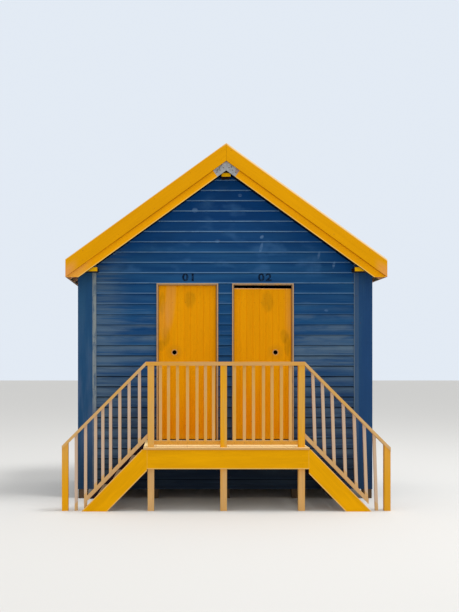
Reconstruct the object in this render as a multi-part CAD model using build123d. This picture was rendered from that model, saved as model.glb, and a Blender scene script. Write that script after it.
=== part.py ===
from build123d import *
import math
import os

# Double beach hut of timber, in mm. X runs to the right along the front, Y runs to the back, Z is up.
# The origin is on the ground, under the middle of the hut's overall box.

# Main sizes of the walls
WALL_HALF = 1890.0
DEPTH = 1830.0
WALL_BOTTOM = 120.0
COURSE_HIGH = 132.0
COURSES_TO_HEAD = 20
BUTT = 24.0
THIN_EDGE = 11.0

# Sawn sections
STUD_WIDE = 38.0
STUD_DEEP = 76.0
CORNER_THICK = 26.0
CORNER_WIDE = 176.0
BATTEN_WIDE = 60.0
SIDE_CORNER_WIDE = 100.0
SILL_HIGH = 50.0
PIER_WIDE = 114.0
PIERS_PER_ROW = 5
STUDS_PER_SIDE = 2
BACK_STUD_PITCH = 620.0
BACK_STUDS_EACH_WAY = 2
JOINT_GAP = 1.0

# Doors and their linings
BETWEEN_DOORS = 180.0
LEAF_WIDE = 750.0
LEAF_HIGH = 1981.0
LEAF_THICK = 24.0
SIDE_GAP = 5.0
TOP_GAP = 5.0
BOTTOM_GAP = 12.0
STOP_GAP = 6.0
RIGHT_LEAF_DROP = 40.0
RIGHT_LEAF_SAG = 7.0
LINING_THICK = 15.0
LINING_PROUD = 4.0
LINING_DEEP = 64.0
STOP_THICK = 10.0
STOP_DEEP = 20.0
LINTEL_HIGH = 114.0
LEDGE_THICK = 20.0
LEDGE_HIGH = 100.0
LEDGE_HINGE_INSET = 45.0
LEDGE_LOCK_INSET = 20.0
LEDGE_SHARES = (0.0757, 0.4745, 0.8733)
HOLE_RADIUS = 28.0
HOLE_FROM_FOOT = 1115.0
HOLE_FROM_LOCK_EDGE = 210.0
LEAF_BOARDS = 9
GROOVE_DEEP = 3.0

# Hinges: a pin in three knuckles, two on the lining and one on the leaf
KNUCKLE_RADIUS = 5.0
PIN_RADIUS = 3.0
PIN_CLEARANCE = 0.05
HINGE_HIGH = 100.0
HINGE_PLATE_THICK = 2.5
LEAF_PLATE_WIDE = 35.0
KNUCKLE_GAP = 1.0
HINGE_SHARES = (0.1514, 0.525, 0.8279)

# Floor
FLOOR_THICK = 22.0
JOIST_WIDE = 38.0
JOIST_HIGH = 114.0
FLOOR_JOISTS = 7

# Roof
PITCH = 35.85
EAVE_REACH = 130.0
OVERHANG = 260.0
BARGE_THICK = 22.0
BARGE_DEEP = 180.0
MITRE_GAP = 2.0
ROOF_LIP = 22.0
ROOF_BUILD = 62.0
ROOF_THIN = 18.0
ROOF_COURSE = 100.0
CAP_SINK = 2.0
CAP_REACH = 150.0
RAFTER_WIDE = 38.0
RAFTER_DEEP = 140.0
RAFTER_PAIRS = 5
BARGE_RAFTER_DEEP = 214.0
RIDGE_JOINT = 6.0
FASCIA_THICK = 22.0
PURLIN_WIDE = 114.0
PURLIN_HIGH = 45.0
PURLIN_UNDER_BARGE = 25.0
UPSTAND_WIDE = 38.0
UPSTAND_SEAT = 20.0
PLATE_OVER_HEAD = 186.0
PLATE_SEAT = 42.0
PLATE_HIGH = 50.0
PLATE_WIDE = 240.0
APEX_PLATE_THICK = 2.0
APEX_PLATE_REACH = 166.0

# Landing in front of the doors
POST_X = (-929.0, -71.0, 847.0)
POST_WIDE = 76.0
POST_REACH = 950.0
BEAM_THICK = 38.0
BEAM_HIGH = 228.0
BEAM_PAST_LEFT = 9.0
BEAM_PAST_RIGHT = 45.0
NOSING = 15.0
DECK_PAST = 50.0
DECK_BOARDS = 8
DECK_BOARD_GAP = 5.0
RAIL_ABOVE_DECK = 1010.0
HANDRAIL_THICK = 45.0
HANDRAIL_WIDE = 90.0
HANDRAIL_PAST_LEFT = 21.0
BOTTOM_RAIL_LOW = 30.0
BOTTOM_RAIL_HIGH = 43.0
BALUSTER_WIDE = 35.0
LEFT_BAY_SHARES = (0.096, 0.217, 0.353, 0.504, 0.647, 0.775, 0.896)
RIGHT_BAY_SHARES = (0.107, 0.247, 0.374, 0.514, 0.633, 0.766, 0.892)

# Stair flights to the left and right of the landing
FLIGHT_PITCH = 45.7
STAIR_RAIL_PITCH = 45.0
STAIR_RAIL_THICK = 32.0
TREADS_PER_FLIGHT = 3
TREAD_THICK = 38.0
TREAD_DEEP = 200.0
STRINGER_THICK = 38.0
STRINGER_DEEP = 216.0
LEFT_LINE_RISE = 38.0
RIGHT_LINE_RISE = 3.0
LEFT_NEWEL_PAST = 224.0
RIGHT_NEWEL_PAST = 244.0
NEWEL_WIDE = 72.0
SUBRAIL_THICK = 45.0
LEFT_SUBRAIL_RISE = 163.0
RIGHT_SUBRAIL_RISE = 170.0
SUBRAIL_TOE = 79.0
LEFT_FLIGHT_SHARES = (0.104, 0.234, 0.352, 0.468, 0.565, 0.656, 0.782, 0.9)
RIGHT_FLIGHT_SHARES = (0.104, 0.224, 0.346, 0.487, 0.625, 0.751, 0.877)
RIGHT_BALUSTER_LEAN = 1.8

# Levels and faces worked out from the sizes above
TAN_PITCH = math.tan(math.radians(PITCH))
COS_PITCH = math.cos(math.radians(PITCH))
TAN_FLIGHT = math.tan(math.radians(FLIGHT_PITCH))
COS_FLIGHT = math.cos(math.radians(FLIGHT_PITCH))
TAN_STAIR_RAIL = math.tan(math.radians(STAIR_RAIL_PITCH))
COS_STAIR_RAIL = math.cos(math.radians(STAIR_RAIL_PITCH))
PORCH_REACH = POST_REACH + BEAM_THICK + NOSING
FRONT = (PORCH_REACH - DEPTH - OVERHANG) / 2
BACK = FRONT + DEPTH
STUD_FRONT = FRONT + CORNER_THICK
STUD_BACK = BACK - CORNER_THICK
STUD_SIDE = WALL_HALF - CORNER_THICK
ROOM_FRONT = STUD_FRONT + STUD_DEEP
ROOM_BACK = STUD_BACK - STUD_DEEP
ROOM_SIDE = STUD_SIDE - STUD_DEEP
CLAD_HALF = WALL_HALF - CORNER_WIDE - BATTEN_WIDE
HEAD_TOP = WALL_BOTTOM + COURSES_TO_HEAD * COURSE_HIGH
HEAD_LOW = HEAD_TOP - LINING_THICK
LEAF_TOP = HEAD_LOW - TOP_GAP
LEAF_FOOT = LEAF_TOP - LEAF_HIGH
FLOOR_TOP = LEAF_FOOT - BOTTOM_GAP
FLOOR_LOW = FLOOR_TOP - FLOOR_THICK
LINING_INNER = LEAF_WIDE / 2 + SIDE_GAP
LINING_OUTER = LINING_INNER + LINING_THICK
DOOR_CENTRE = LINING_OUTER + BETWEEN_DOORS / 2
LINING_FRONT = FRONT - LINING_PROUD
LEAF_ROOM_FACE = LINING_FRONT + LINING_DEEP
LEAF_FRONT = LEAF_ROOM_FACE - LEAF_THICK
ROOF_UNDER = ROOF_BUILD / COS_PITCH
BARGE_LOW = BARGE_DEEP / COS_PITCH
RAFTER_LOW = ROOF_UNDER + RAFTER_DEEP / COS_PITCH
BARGE_RAFTER_LOW = ROOF_UNDER + BARGE_RAFTER_DEEP / COS_PITCH
PLATE_TOP = HEAD_TOP + PLATE_OVER_HEAD
PLATE_LOW = PLATE_TOP - PLATE_HIGH
APEX = PLATE_TOP - PLATE_SEAT + RAFTER_LOW + STUD_SIDE * TAN_PITCH
BARGE_HALF = WALL_HALF + EAVE_REACH
BARGE_FRONT = FRONT - OVERHANG
BARGE_BACK = BACK + OVERHANG
FASCIA_INNER = BARGE_HALF - FASCIA_THICK
HANDRAIL_TOP = FLOOR_TOP + RAIL_ABOVE_DECK
RAIL_MIDDLE = FRONT - POST_REACH + POST_WIDE / 2
BEAM_FRONT = FRONT - POST_REACH - BEAM_THICK
BEAM_LEFT = POST_X[0] - POST_WIDE / 2 - BEAM_PAST_LEFT
BEAM_RIGHT = POST_X[-1] + POST_WIDE / 2 + BEAM_PAST_RIGHT
RISER = FLOOR_TOP / (TREADS_PER_FLIGHT + 1)


def box(x_low, x_high, y_low, y_high, z_low, z_high):
    """A squared timber between six planes."""
    size = Box(x_high - x_low, y_high - y_low, z_high - z_low)
    return Pos((x_low + x_high) / 2, (y_low + y_high) / 2, (z_low + z_high) / 2) * size


def upright(points, y_low, y_high):
    """A board whose outline (x, z) faces the front, between two planes across Y."""
    outline = Plane.XZ.offset(-y_low) * make_face(Polyline(*points, close=True))
    return extrude(outline, amount=y_low - y_high)


def lengthwise(points, x_low, x_high):
    """A board whose section (y, z) runs along X, between two planes across X."""
    section = Plane.YZ.offset(x_low) * make_face(Polyline(*points, close=True))
    return extrude(section, amount=x_high - x_low)


def write(name, *pieces):
    """One STEP file for a node, with each of its solids kept apart."""
    solids = [solid for piece in pieces for solid in piece.solids()]
    export_step(Compound(solids) if len(solids) > 1 else solids[0], os.path.join("parts", name + ".step"))


def roof_line(x):
    """Height of the barge boards' top edge at x."""
    return APEX - abs(x) * TAN_PITCH


def reach_at(drop, level):
    """How far from the middle a line that lies drop below the roof line comes down to level."""
    return (APEX - drop - level) / TAN_PITCH


EAVE_CUT = roof_line(BARGE_HALF) - BARGE_LOW
PURLIN_TOP = roof_line(0) - BARGE_RAFTER_LOW - PURLIN_UNDER_BARGE
PURLIN_LOW = PURLIN_TOP - PURLIN_HIGH
UPSTAND_TOP = roof_line(UPSTAND_WIDE / 2) - RAFTER_LOW + UPSTAND_SEAT


def lapped_section(z_low, z_high):
    """Feather-edged boards lapped upwards, as (thickness, height) points from the studs' face."""
    points = [(0, z_low)]
    level = z_low
    while level < z_high:
        top = min(level + COURSE_HIGH, z_high)
        taper = (BUTT - THIN_EDGE) * (top - level) / COURSE_HIGH
        points += [(BUTT, level), (BUTT - taper, top)]
        level = top
    return points + [(0, z_high)]


def front_sheet():
    """The front's boards over the whole width between the corner battens, up to the roof."""
    section = [(STUD_FRONT - out, z) for out, z in lapped_section(WALL_BOTTOM, roof_line(0) - ROOF_UNDER)]
    return lengthwise(section, -CLAD_HALF, CLAD_HALF) & gable_field(FRONT - BUTT, STUD_FRONT)


def back_sheet():
    """The back's boards, in one unbroken sheet."""
    section = [(STUD_BACK + out, z) for out, z in lapped_section(WALL_BOTTOM, roof_line(0) - ROOF_UNDER)]
    return lengthwise(section, -CLAD_HALF, CLAD_HALF) & gable_field(STUD_BACK, BACK + BUTT)


def gable_field(y_low, y_high):
    """The space of an end wall under the roof, less what passes through it to carry the overhang."""
    outline = [
        (-WALL_HALF, WALL_BOTTOM),
        (WALL_HALF, WALL_BOTTOM),
        (WALL_HALF, roof_line(WALL_HALF) - ROOF_UNDER),
        (0, APEX - ROOF_UNDER),
        (-WALL_HALF, roof_line(WALL_HALF) - ROOF_UNDER),
    ]
    field = upright(outline, y_low, y_high) - box(*purlin_section(), y_low, y_high, PURLIN_LOW, PURLIN_TOP)
    for side in (-1, 1):
        field -= box(*plate_section(side), y_low, y_high, PLATE_LOW, PLATE_TOP)
    return field


def purlin_section():
    return -PURLIN_WIDE / 2, PURLIN_WIDE / 2


def plate_section(side):
    return tuple(sorted((side * (STUD_SIDE - PLATE_WIDE), side * STUD_SIDE)))


def spread(low, high, count):
    """Evenly spaced middles from low to high."""
    return [low + (high - low) * i / (count - 1) for i in range(count)]


def piers():
    middles = spread(-STUD_SIDE + STUD_DEEP / 2, STUD_SIDE - STUD_DEEP / 2, PIERS_PER_ROW)
    rows = (STUD_FRONT + STUD_DEEP / 2, STUD_BACK - STUD_DEEP / 2)
    half = PIER_WIDE / 2
    return [box(x - half, x + half, y - half, y + half, 0, WALL_BOTTOM) for y in rows for x in middles]


def sill_plates():
    top = WALL_BOTTOM + SILL_HIGH
    ends = [
        box(-STUD_SIDE, STUD_SIDE, STUD_FRONT, ROOM_FRONT, WALL_BOTTOM, top),
        box(-STUD_SIDE, STUD_SIDE, ROOM_BACK, STUD_BACK, WALL_BOTTOM, top),
    ]
    low, high = ROOM_FRONT + JOINT_GAP, ROOM_BACK - JOINT_GAP
    sides = [box(*sorted((s * ROOM_SIDE, s * STUD_SIDE)), low, high, WALL_BOTTOM, top) for s in (-1, 1)]
    return ends + sides


def gable_stud(middle, y_low, y_high):
    """A stud of an end wall, cut to the slope of the rafter above it or square under the ridge purlin."""
    left, right = middle - STUD_WIDE / 2, middle + STUD_WIDE / 2
    foot = WALL_BOTTOM + SILL_HIGH
    if min(abs(left), abs(right)) < PURLIN_WIDE / 2:
        return box(left, right, y_low, y_high, foot, PURLIN_LOW)
    tops = [(right, roof_line(right) - RAFTER_LOW), (left, roof_line(left) - RAFTER_LOW)]
    return upright([(left, foot), (right, foot)] + tops, y_low, y_high)


def wall_studs():
    foot = WALL_BOTTOM + SILL_HIGH
    studs = []
    for side in (-1, 1):
        for low in (STUD_FRONT, ROOM_BACK):
            corner = sorted((side * ROOM_SIDE, side * STUD_SIDE))
            studs.append(box(*corner, low, low + STUD_DEEP, foot, PLATE_LOW))
        for y in spread(STUD_FRONT, STUD_BACK, STUDS_PER_SIDE + 2)[1:-1]:
            line = sorted((side * ROOM_SIDE, side * STUD_SIDE))
            studs.append(box(*line, y - STUD_WIDE / 2, y + STUD_WIDE / 2, foot, PLATE_LOW))
        inner_jamb = DOOR_CENTRE - LINING_OUTER - STUD_WIDE / 2
        outer_jamb = DOOR_CENTRE + LINING_OUTER + STUD_WIDE / 2
        between = (outer_jamb + ROOM_SIDE) / 2
        for middle in (inner_jamb, outer_jamb, between):
            studs.append(gable_stud(side * middle, STUD_FRONT, ROOM_FRONT))
    for step in range(-BACK_STUDS_EACH_WAY, BACK_STUDS_EACH_WAY + 1):
        studs.append(gable_stud(step * BACK_STUD_PITCH, ROOM_BACK, STUD_BACK))
    return studs


def door_lintels():
    for side in (-1, 1):
        low, high = side * DOOR_CENTRE - LINING_OUTER, side * DOOR_CENTRE + LINING_OUTER
        yield box(low, high, STUD_FRONT, ROOM_FRONT, HEAD_TOP, HEAD_TOP + LINTEL_HIGH)


def floor_bearers():
    low, high = FLOOR_LOW - 2 * JOIST_HIGH, FLOOR_LOW - JOIST_HIGH
    return [
        box(-ROOM_SIDE, ROOM_SIDE, ROOM_FRONT, ROOM_FRONT + JOIST_WIDE, low, high),
        box(-ROOM_SIDE, ROOM_SIDE, ROOM_BACK - JOIST_WIDE, ROOM_BACK, low, high),
    ]


def floor_joists():
    half = JOIST_WIDE / 2
    for x in spread(-ROOM_SIDE + half, ROOM_SIDE - half, FLOOR_JOISTS):
        yield box(x - half, x + half, ROOM_FRONT, ROOM_BACK, FLOOR_LOW - JOIST_HIGH, FLOOR_LOW)


def front_corner_boards():
    """Wide boards on the four ends of the gable walls, over the edges of the side walls."""
    for y_low, y_high in ((FRONT, STUD_FRONT), (STUD_BACK, BACK)):
        field = gable_field(y_low, y_high)
        for side in (-1, 1):
            x_low, x_high = sorted((side * (WALL_HALF - CORNER_WIDE), side * WALL_HALF))
            yield field & box(x_low, x_high, y_low, y_high, WALL_BOTTOM, APEX)


def corner_battens():
    """Narrow strips that close the ends of the weatherboards against the corner boards."""
    for y_low, y_high in ((FRONT, STUD_FRONT), (STUD_BACK, BACK)):
        field = gable_field(y_low, y_high)
        for side in (-1, 1):
            x_low, x_high = sorted((side * CLAD_HALF, side * (CLAD_HALF + BATTEN_WIDE)))
            yield field & box(x_low, x_high, y_low, y_high, WALL_BOTTOM, APEX)


SIDE_CLAD_TOP = roof_line(WALL_HALF) - RAFTER_LOW - JOINT_GAP


def side_corner_boards():
    for side in (-1, 1):
        line = sorted((side * STUD_SIDE, side * WALL_HALF))
        yield box(*line, STUD_FRONT, STUD_FRONT + SIDE_CORNER_WIDE, WALL_BOTTOM, SIDE_CLAD_TOP)
        yield box(*line, STUD_BACK - SIDE_CORNER_WIDE, STUD_BACK, WALL_BOTTOM, SIDE_CLAD_TOP)


def side_cladding(side):
    section = [(side * (STUD_SIDE + out), z) for out, z in lapped_section(WALL_BOTTOM, SIDE_CLAD_TOP)]
    return upright(section, STUD_FRONT + SIDE_CORNER_WIDE, STUD_BACK - SIDE_CORNER_WIDE)


def front_panels():
    """The front's boards, split beside, between, below and above the two doorways."""
    sheet = front_sheet()
    near, far = DOOR_CENTRE - LINING_OUTER, DOOR_CENTRE + LINING_OUTER

    def cut(x_low, x_high, z_low, z_high):
        return sheet & box(x_low, x_high, FRONT - BUTT, STUD_FRONT, z_low, z_high)

    write("front_boards_below_doors", cut(-CLAD_HALF, CLAD_HALF, WALL_BOTTOM, FLOOR_LOW))
    write("front_boards_left", cut(-CLAD_HALF, -far, FLOOR_LOW, HEAD_TOP))
    write("front_boards_between_doors", cut(-near, near, FLOOR_LOW, HEAD_TOP))
    write("front_boards_right", cut(far, CLAD_HALF, FLOOR_LOW, HEAD_TOP))
    write("front_boards_gable", cut(-CLAD_HALF, CLAD_HALF, HEAD_TOP, APEX))


def door_frame(side):
    """Lining boards round a doorway with their stops, and the threshold that meets the floor."""
    middle = side * DOOR_CENTRE
    pieces = []
    stop_low, stop_high = LEAF_FRONT - STOP_GAP - STOP_DEEP, LEAF_FRONT - STOP_GAP
    for jamb in (-1, 1):
        line = sorted((middle + jamb * LINING_INNER, middle + jamb * LINING_OUTER))
        rest = sorted((middle + jamb * (LINING_INNER - STOP_THICK), middle + jamb * LINING_INNER))
        foot, top = FLOOR_TOP + JOINT_GAP, HEAD_LOW - JOINT_GAP
        board = box(*line, LINING_FRONT, LEAF_ROOM_FACE, foot, top)
        pieces.append(board + box(*rest, stop_low, stop_high, foot, top))
    head = box(middle - LINING_OUTER, middle + LINING_OUTER, LINING_FRONT, LEAF_ROOM_FACE, HEAD_LOW, HEAD_TOP)
    inner = LINING_INNER - STOP_THICK - JOINT_GAP
    stop_foot = HEAD_LOW - STOP_THICK
    pieces.append(head + box(middle - inner, middle + inner, stop_low, stop_high, stop_foot, HEAD_LOW))
    pieces.append(box(middle - LINING_OUTER, middle + LINING_OUTER, FRONT, ROOM_FRONT, FLOOR_LOW, FLOOR_TOP))
    return pieces


def leaf_edges(side):
    """The x of a leaf's hinge edge, at the middle of the front, and of its lock edge."""
    return side * (DOOR_CENTRE - LEAF_WIDE / 2), side * (DOOR_CENTRE + LEAF_WIDE / 2)


def hole_middle(side):
    return side * (DOOR_CENTRE + LEAF_WIDE / 2 - HOLE_FROM_LOCK_EDGE), LEAF_FOOT + HOLE_FROM_FOOT


def door_leaf(side):
    """A leaf of upright boards with V joints and a finger hole. The right one has dropped at its lock."""
    hinge_edge, lock_edge = leaf_edges(side)
    dropped = side > 0
    hinge_top = LEAF_TOP - (RIGHT_LEAF_DROP if dropped else 0)
    lock_top = hinge_top - (RIGHT_LEAF_SAG if dropped else 0)
    feet = [(hinge_edge, LEAF_FOOT), (lock_edge, LEAF_FOOT)]
    outline = [*feet, (lock_edge, lock_top), (hinge_edge, hinge_top)]
    leaf = upright(outline, LEAF_FRONT, LEAF_ROOM_FACE)
    x, z = hole_middle(side)
    hole = Rot(90, 0, 0) * Cylinder(HOLE_RADIUS, 2 * LEAF_THICK)
    leaf -= Pos(x, (LEAF_FRONT + LEAF_ROOM_FACE) / 2, z) * hole
    groove = Rot(0, 0, 45) * Box(math.sqrt(2) * GROOVE_DEEP, math.sqrt(2) * GROOVE_DEEP, 2 * LEAF_HIGH)
    for joint in range(1, LEAF_BOARDS):
        x = hinge_edge + side * joint * LEAF_WIDE / LEAF_BOARDS
        for face in (LEAF_FRONT, LEAF_ROOM_FACE):
            leaf -= Pos(x, face, LEAF_FOOT) * groove
    return leaf


def door_ledges(side):
    hinge_edge, lock_edge = leaf_edges(side)
    line = sorted((hinge_edge + side * LEDGE_HINGE_INSET, lock_edge - side * LEDGE_LOCK_INSET))
    for share in LEDGE_SHARES:
        z = LEAF_FOOT + share * LEAF_HIGH
        yield box(*line, LEAF_ROOM_FACE, LEAF_ROOM_FACE + LEDGE_THICK, z, z + LEDGE_HIGH)


def hinge_axis(side):
    """The x and y of a door's hinge pins, in the gap beside the leaf and on its room face."""
    return leaf_edges(side)[0] - side * SIDE_GAP / 2, LEAF_ROOM_FACE + KNUCKLE_RADIUS


def hinge_levels(share):
    """Foot, lower split, upper split and top of one hinge."""
    foot = LEAF_FOOT + share * LEAF_HIGH
    return foot, foot + HINGE_HIGH / 3, foot + 2 * HINGE_HIGH / 3, foot + HINGE_HIGH


def barrel(x, y, radius, z_low, z_high):
    return Pos(x, y, (z_low + z_high) / 2) * Cylinder(radius, z_high - z_low)


def lining_hinges(side):
    """The fixed halves: a plate on the lining's edge, the two end knuckles and the pin."""
    x, y = hinge_axis(side)
    edge = x - side * (SIDE_GAP / 2 + LINING_THICK)
    clear = x - side * (KNUCKLE_RADIUS + KNUCKLE_GAP)
    plate_back = LEAF_ROOM_FACE + HINGE_PLATE_THICK
    for share in HINGE_SHARES:
        foot, lower, upper, top = hinge_levels(share)
        half = barrel(x, y, PIN_RADIUS, foot, top)
        half += box(*sorted((edge, clear)), LEAF_ROOM_FACE, plate_back, foot, top)
        for z_low, z_high in ((foot, lower - KNUCKLE_GAP / 2), (upper + KNUCKLE_GAP / 2, top)):
            half += box(*sorted((clear, x)), LEAF_ROOM_FACE, plate_back, z_low, z_high)
            half += barrel(x, y, KNUCKLE_RADIUS, z_low, z_high)
        yield half


def leaf_hinges(side):
    """The moving halves: a plate on the leaf's room face and the middle knuckle."""
    x, y = hinge_axis(side)
    edge = x + side * LEAF_PLATE_WIDE
    clear = x + side * (KNUCKLE_RADIUS + KNUCKLE_GAP)
    plate_back = LEAF_ROOM_FACE + HINGE_PLATE_THICK
    for share in HINGE_SHARES:
        foot, lower, upper, top = hinge_levels(share)
        z_low, z_high = lower + KNUCKLE_GAP / 2, upper - KNUCKLE_GAP / 2
        half = box(*sorted((clear, edge)), LEAF_ROOM_FACE, plate_back, foot, top)
        half += box(*sorted((x, clear)), LEAF_ROOM_FACE, plate_back, z_low, z_high)
        half += barrel(x, y, KNUCKLE_RADIUS, z_low, z_high)
        yield half - barrel(x, y, PIN_RADIUS + PIN_CLEARANCE, foot, top)


def wall_plates():
    low, high = BARGE_FRONT + BARGE_THICK + RAFTER_WIDE, BARGE_BACK - BARGE_THICK - RAFTER_WIDE
    return [box(*plate_section(side), low, high, PLATE_LOW, PLATE_TOP) for side in (-1, 1)]


def ridge_purlin():
    """A flat board out to the barge rafters, and an upright board on it between the end walls."""
    low, high = BARGE_FRONT + BARGE_THICK + RAFTER_WIDE, BARGE_BACK - BARGE_THICK - RAFTER_WIDE
    half = UPSTAND_WIDE / 2
    upstand = box(-half, half, STUD_FRONT, STUD_BACK, PURLIN_TOP, UPSTAND_TOP)
    return box(*purlin_section(), low, high, PURLIN_LOW, PURLIN_TOP) + upstand


def rafters():
    """Rafters seated on the ridge purlin and the wall plates, with plumb and level cuts at the eaves."""
    flat = reach_at(RAFTER_LOW, EAVE_CUT)
    for side in (-1, 1):
        outline = [
            (MITRE_GAP / 2, roof_line(MITRE_GAP / 2) - ROOF_UNDER),
            (FASCIA_INNER, roof_line(FASCIA_INNER) - ROOF_UNDER),
            (FASCIA_INNER, EAVE_CUT),
            (flat, EAVE_CUT),
            (STUD_SIDE, roof_line(STUD_SIDE) - RAFTER_LOW),
            (STUD_SIDE, PLATE_TOP),
            (reach_at(RAFTER_LOW, PLATE_TOP), PLATE_TOP),
            (UPSTAND_WIDE / 2, roof_line(UPSTAND_WIDE / 2) - RAFTER_LOW),
            (UPSTAND_WIDE / 2, UPSTAND_TOP),
            (MITRE_GAP / 2, UPSTAND_TOP),
        ]
        for y in spread(STUD_FRONT, STUD_BACK - RAFTER_WIDE, RAFTER_PAIRS):
            yield upright([(side * x, z) for x, z in outline], y, y + RAFTER_WIDE)


def barge_rafters():
    """Deep rafters under the barge boards, nailed over the ends of the purlin and the plates."""
    joint = RIDGE_JOINT / 2
    outline = [
        (joint, roof_line(joint) - ROOF_UNDER),
        (FASCIA_INNER, roof_line(FASCIA_INNER) - ROOF_UNDER),
        (FASCIA_INNER, EAVE_CUT),
        (reach_at(BARGE_RAFTER_LOW, EAVE_CUT), EAVE_CUT),
        (joint, roof_line(joint) - BARGE_RAFTER_LOW),
    ]
    fronts = (BARGE_FRONT + BARGE_THICK, BARGE_BACK - BARGE_THICK - RAFTER_WIDE)
    return [upright([(s * x, z) for x, z in outline], y, y + RAFTER_WIDE) for y in fronts for s in (-1, 1)]


def barge_boards():
    """The four outer boards, mitred at the apex and cut plumb at the eaves."""
    near = MITRE_GAP / 2
    outline = [
        (near, roof_line(near)),
        (BARGE_HALF, roof_line(BARGE_HALF)),
        (BARGE_HALF, EAVE_CUT),
        (near, roof_line(near) - BARGE_LOW),
    ]
    fronts = (BARGE_FRONT, BARGE_BACK - BARGE_THICK)
    return [upright([(s * x, z) for x, z in outline], y, y + BARGE_THICK) for y in fronts for s in (-1, 1)]


def apex_plate():
    """The bent metal strap over the joint of the front barge rafters."""
    top, low = BARGE_LOW + JOINT_GAP, BARGE_RAFTER_LOW
    square = (low - top) * math.sin(math.radians(PITCH)) * COS_PITCH
    far = APEX_PLATE_REACH
    outline = [
        (-far, roof_line(far) - top),
        (0, APEX - top),
        (far, roof_line(far) - top),
        (far - square, roof_line(far - square) - low),
        (0, APEX - low),
        (square - far, roof_line(far - square) - low),
    ]
    face = BARGE_FRONT + BARGE_THICK
    return upright(outline, face - APEX_PLATE_THICK, face)


def roof_boards(side):
    """Boards lapped down the slope, each with its lower edge standing over the one below."""
    slope = BARGE_HALF / COS_PITCH + 2 * ROOF_COURSE
    start = side * BARGE_HALF
    section = [(-ROOF_COURSE, -ROOF_BUILD)]
    along = 0.0
    while along < slope:
        section += [(along, -ROOF_LIP), (along + ROOF_COURSE, -ROOF_LIP - ROOF_THIN)]
        along += ROOF_COURSE
    section += [(along, -ROOF_BUILD)]
    section[1:1] = [(-ROOF_COURSE, -ROOF_LIP), (0, -ROOF_LIP - ROOF_THIN)]
    up, out = (-side * COS_PITCH, TAN_PITCH * COS_PITCH), (side * TAN_PITCH * COS_PITCH, COS_PITCH)
    foot = roof_line(BARGE_HALF)
    outline = [(start + s * up[0] + n * out[0], foot + s * up[1] + n * out[1]) for s, n in section]
    low, high = BARGE_FRONT + BARGE_THICK, BARGE_BACK - BARGE_THICK
    half = box(*sorted((side * MITRE_GAP / 2, start)), low, high, 0, APEX)
    return upright(outline, low, high) & half


def ridge_cap():
    """Two boards along the ridge, mitred at the apex over the top laps of both slopes."""
    top, low = CAP_SINK / COS_PITCH, ROOF_LIP / COS_PITCH
    near, far = MITRE_GAP / 2, CAP_REACH
    outline = [(near, roof_line(near) - top), (far, roof_line(far) - top)]
    outline += [(far, roof_line(far) - low), (near, roof_line(near) - low)]
    front, back = BARGE_FRONT + BARGE_THICK, BARGE_BACK - BARGE_THICK
    for side in (-1, 1):
        yield upright([(side * x, z) for x, z in outline], front, back)


def eave_fascias():
    for side in (-1, 1):
        outline = [
            (side * FASCIA_INNER, EAVE_CUT),
            (side * BARGE_HALF, EAVE_CUT),
            (side * BARGE_HALF, roof_line(BARGE_HALF) - ROOF_UNDER),
            (side * FASCIA_INNER, roof_line(FASCIA_INNER) - ROOF_UNDER),
        ]
        yield upright(outline, BARGE_FRONT + BARGE_THICK, BARGE_BACK - BARGE_THICK)


def porch_posts():
    half = POST_WIDE / 2
    top = HANDRAIL_TOP - HANDRAIL_THICK
    return [box(x - half, x + half, RAIL_MIDDLE - half, RAIL_MIDDLE + half, 0, top) for x in POST_X]


def deck_boards():
    """Boards along the front, the first of them notched round the posts."""
    low, high = BEAM_FRONT - NOSING, FRONT - DECK_BOARD_GAP
    left, right = POST_X[0] - POST_WIDE / 2 - DECK_PAST, POST_X[-1] + POST_WIDE / 2 + DECK_PAST
    pitch = (high - low + DECK_BOARD_GAP) / DECK_BOARDS
    for i in range(DECK_BOARDS):
        y = low + i * pitch
        board = box(left, right, y, y + pitch - DECK_BOARD_GAP, FLOOR_LOW, FLOOR_TOP)
        for post in porch_posts():
            board -= post
        yield board


def deck_joists():
    half = POST_WIDE / 2
    beside = [POST_X[0] + half, POST_X[1] + half, POST_X[2] - half - JOIST_WIDE]
    between = [(POST_X[0] + POST_X[1] - JOIST_WIDE) / 2, (POST_X[1] + POST_X[2] - JOIST_WIDE) / 2]
    low, high = FRONT - POST_REACH, FRONT - STRINGER_THICK
    for x in beside + between:
        yield box(x, x + JOIST_WIDE, low, high, FLOOR_LOW - JOIST_HIGH, FLOOR_LOW)


def deck_ledger():
    return box(BEAM_LEFT, BEAM_RIGHT, FRONT - STRINGER_THICK, FRONT, FLOOR_LOW - BEAM_HIGH, FLOOR_LOW)


def front_beam():
    return box(BEAM_LEFT, BEAM_RIGHT, BEAM_FRONT, FRONT - POST_REACH, FLOOR_LOW - BEAM_HIGH, FLOOR_LOW)


RAIL_LEFT = POST_X[0] - POST_WIDE / 2 - HANDRAIL_PAST_LEFT
RAIL_RIGHT = POST_X[-1] + POST_WIDE / 2


def front_handrail():
    half = HANDRAIL_WIDE / 2
    low, high = RAIL_MIDDLE - half, RAIL_MIDDLE + half
    return box(RAIL_LEFT, RAIL_RIGHT, low, high, HANDRAIL_TOP - HANDRAIL_THICK, HANDRAIL_TOP)


def front_railing(bay, shares):
    """Balusters of one bay on their bottom rail, between two posts and under the handrail."""
    left, right = POST_X[bay] + POST_WIDE / 2, POST_X[bay + 1] - POST_WIDE / 2
    half = BALUSTER_WIDE / 2
    low, high = RAIL_MIDDLE - half, RAIL_MIDDLE + half
    rail_low = FLOOR_TOP + BOTTOM_RAIL_LOW
    rail_top = rail_low + BOTTOM_RAIL_HIGH
    panel = box(left, right, low, high, rail_low, rail_top)
    for share in shares:
        x = left + share * (right - left)
        panel += box(x - half, x + half, low, high, rail_top, HANDRAIL_TOP - HANDRAIL_THICK)
    return panel


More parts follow.
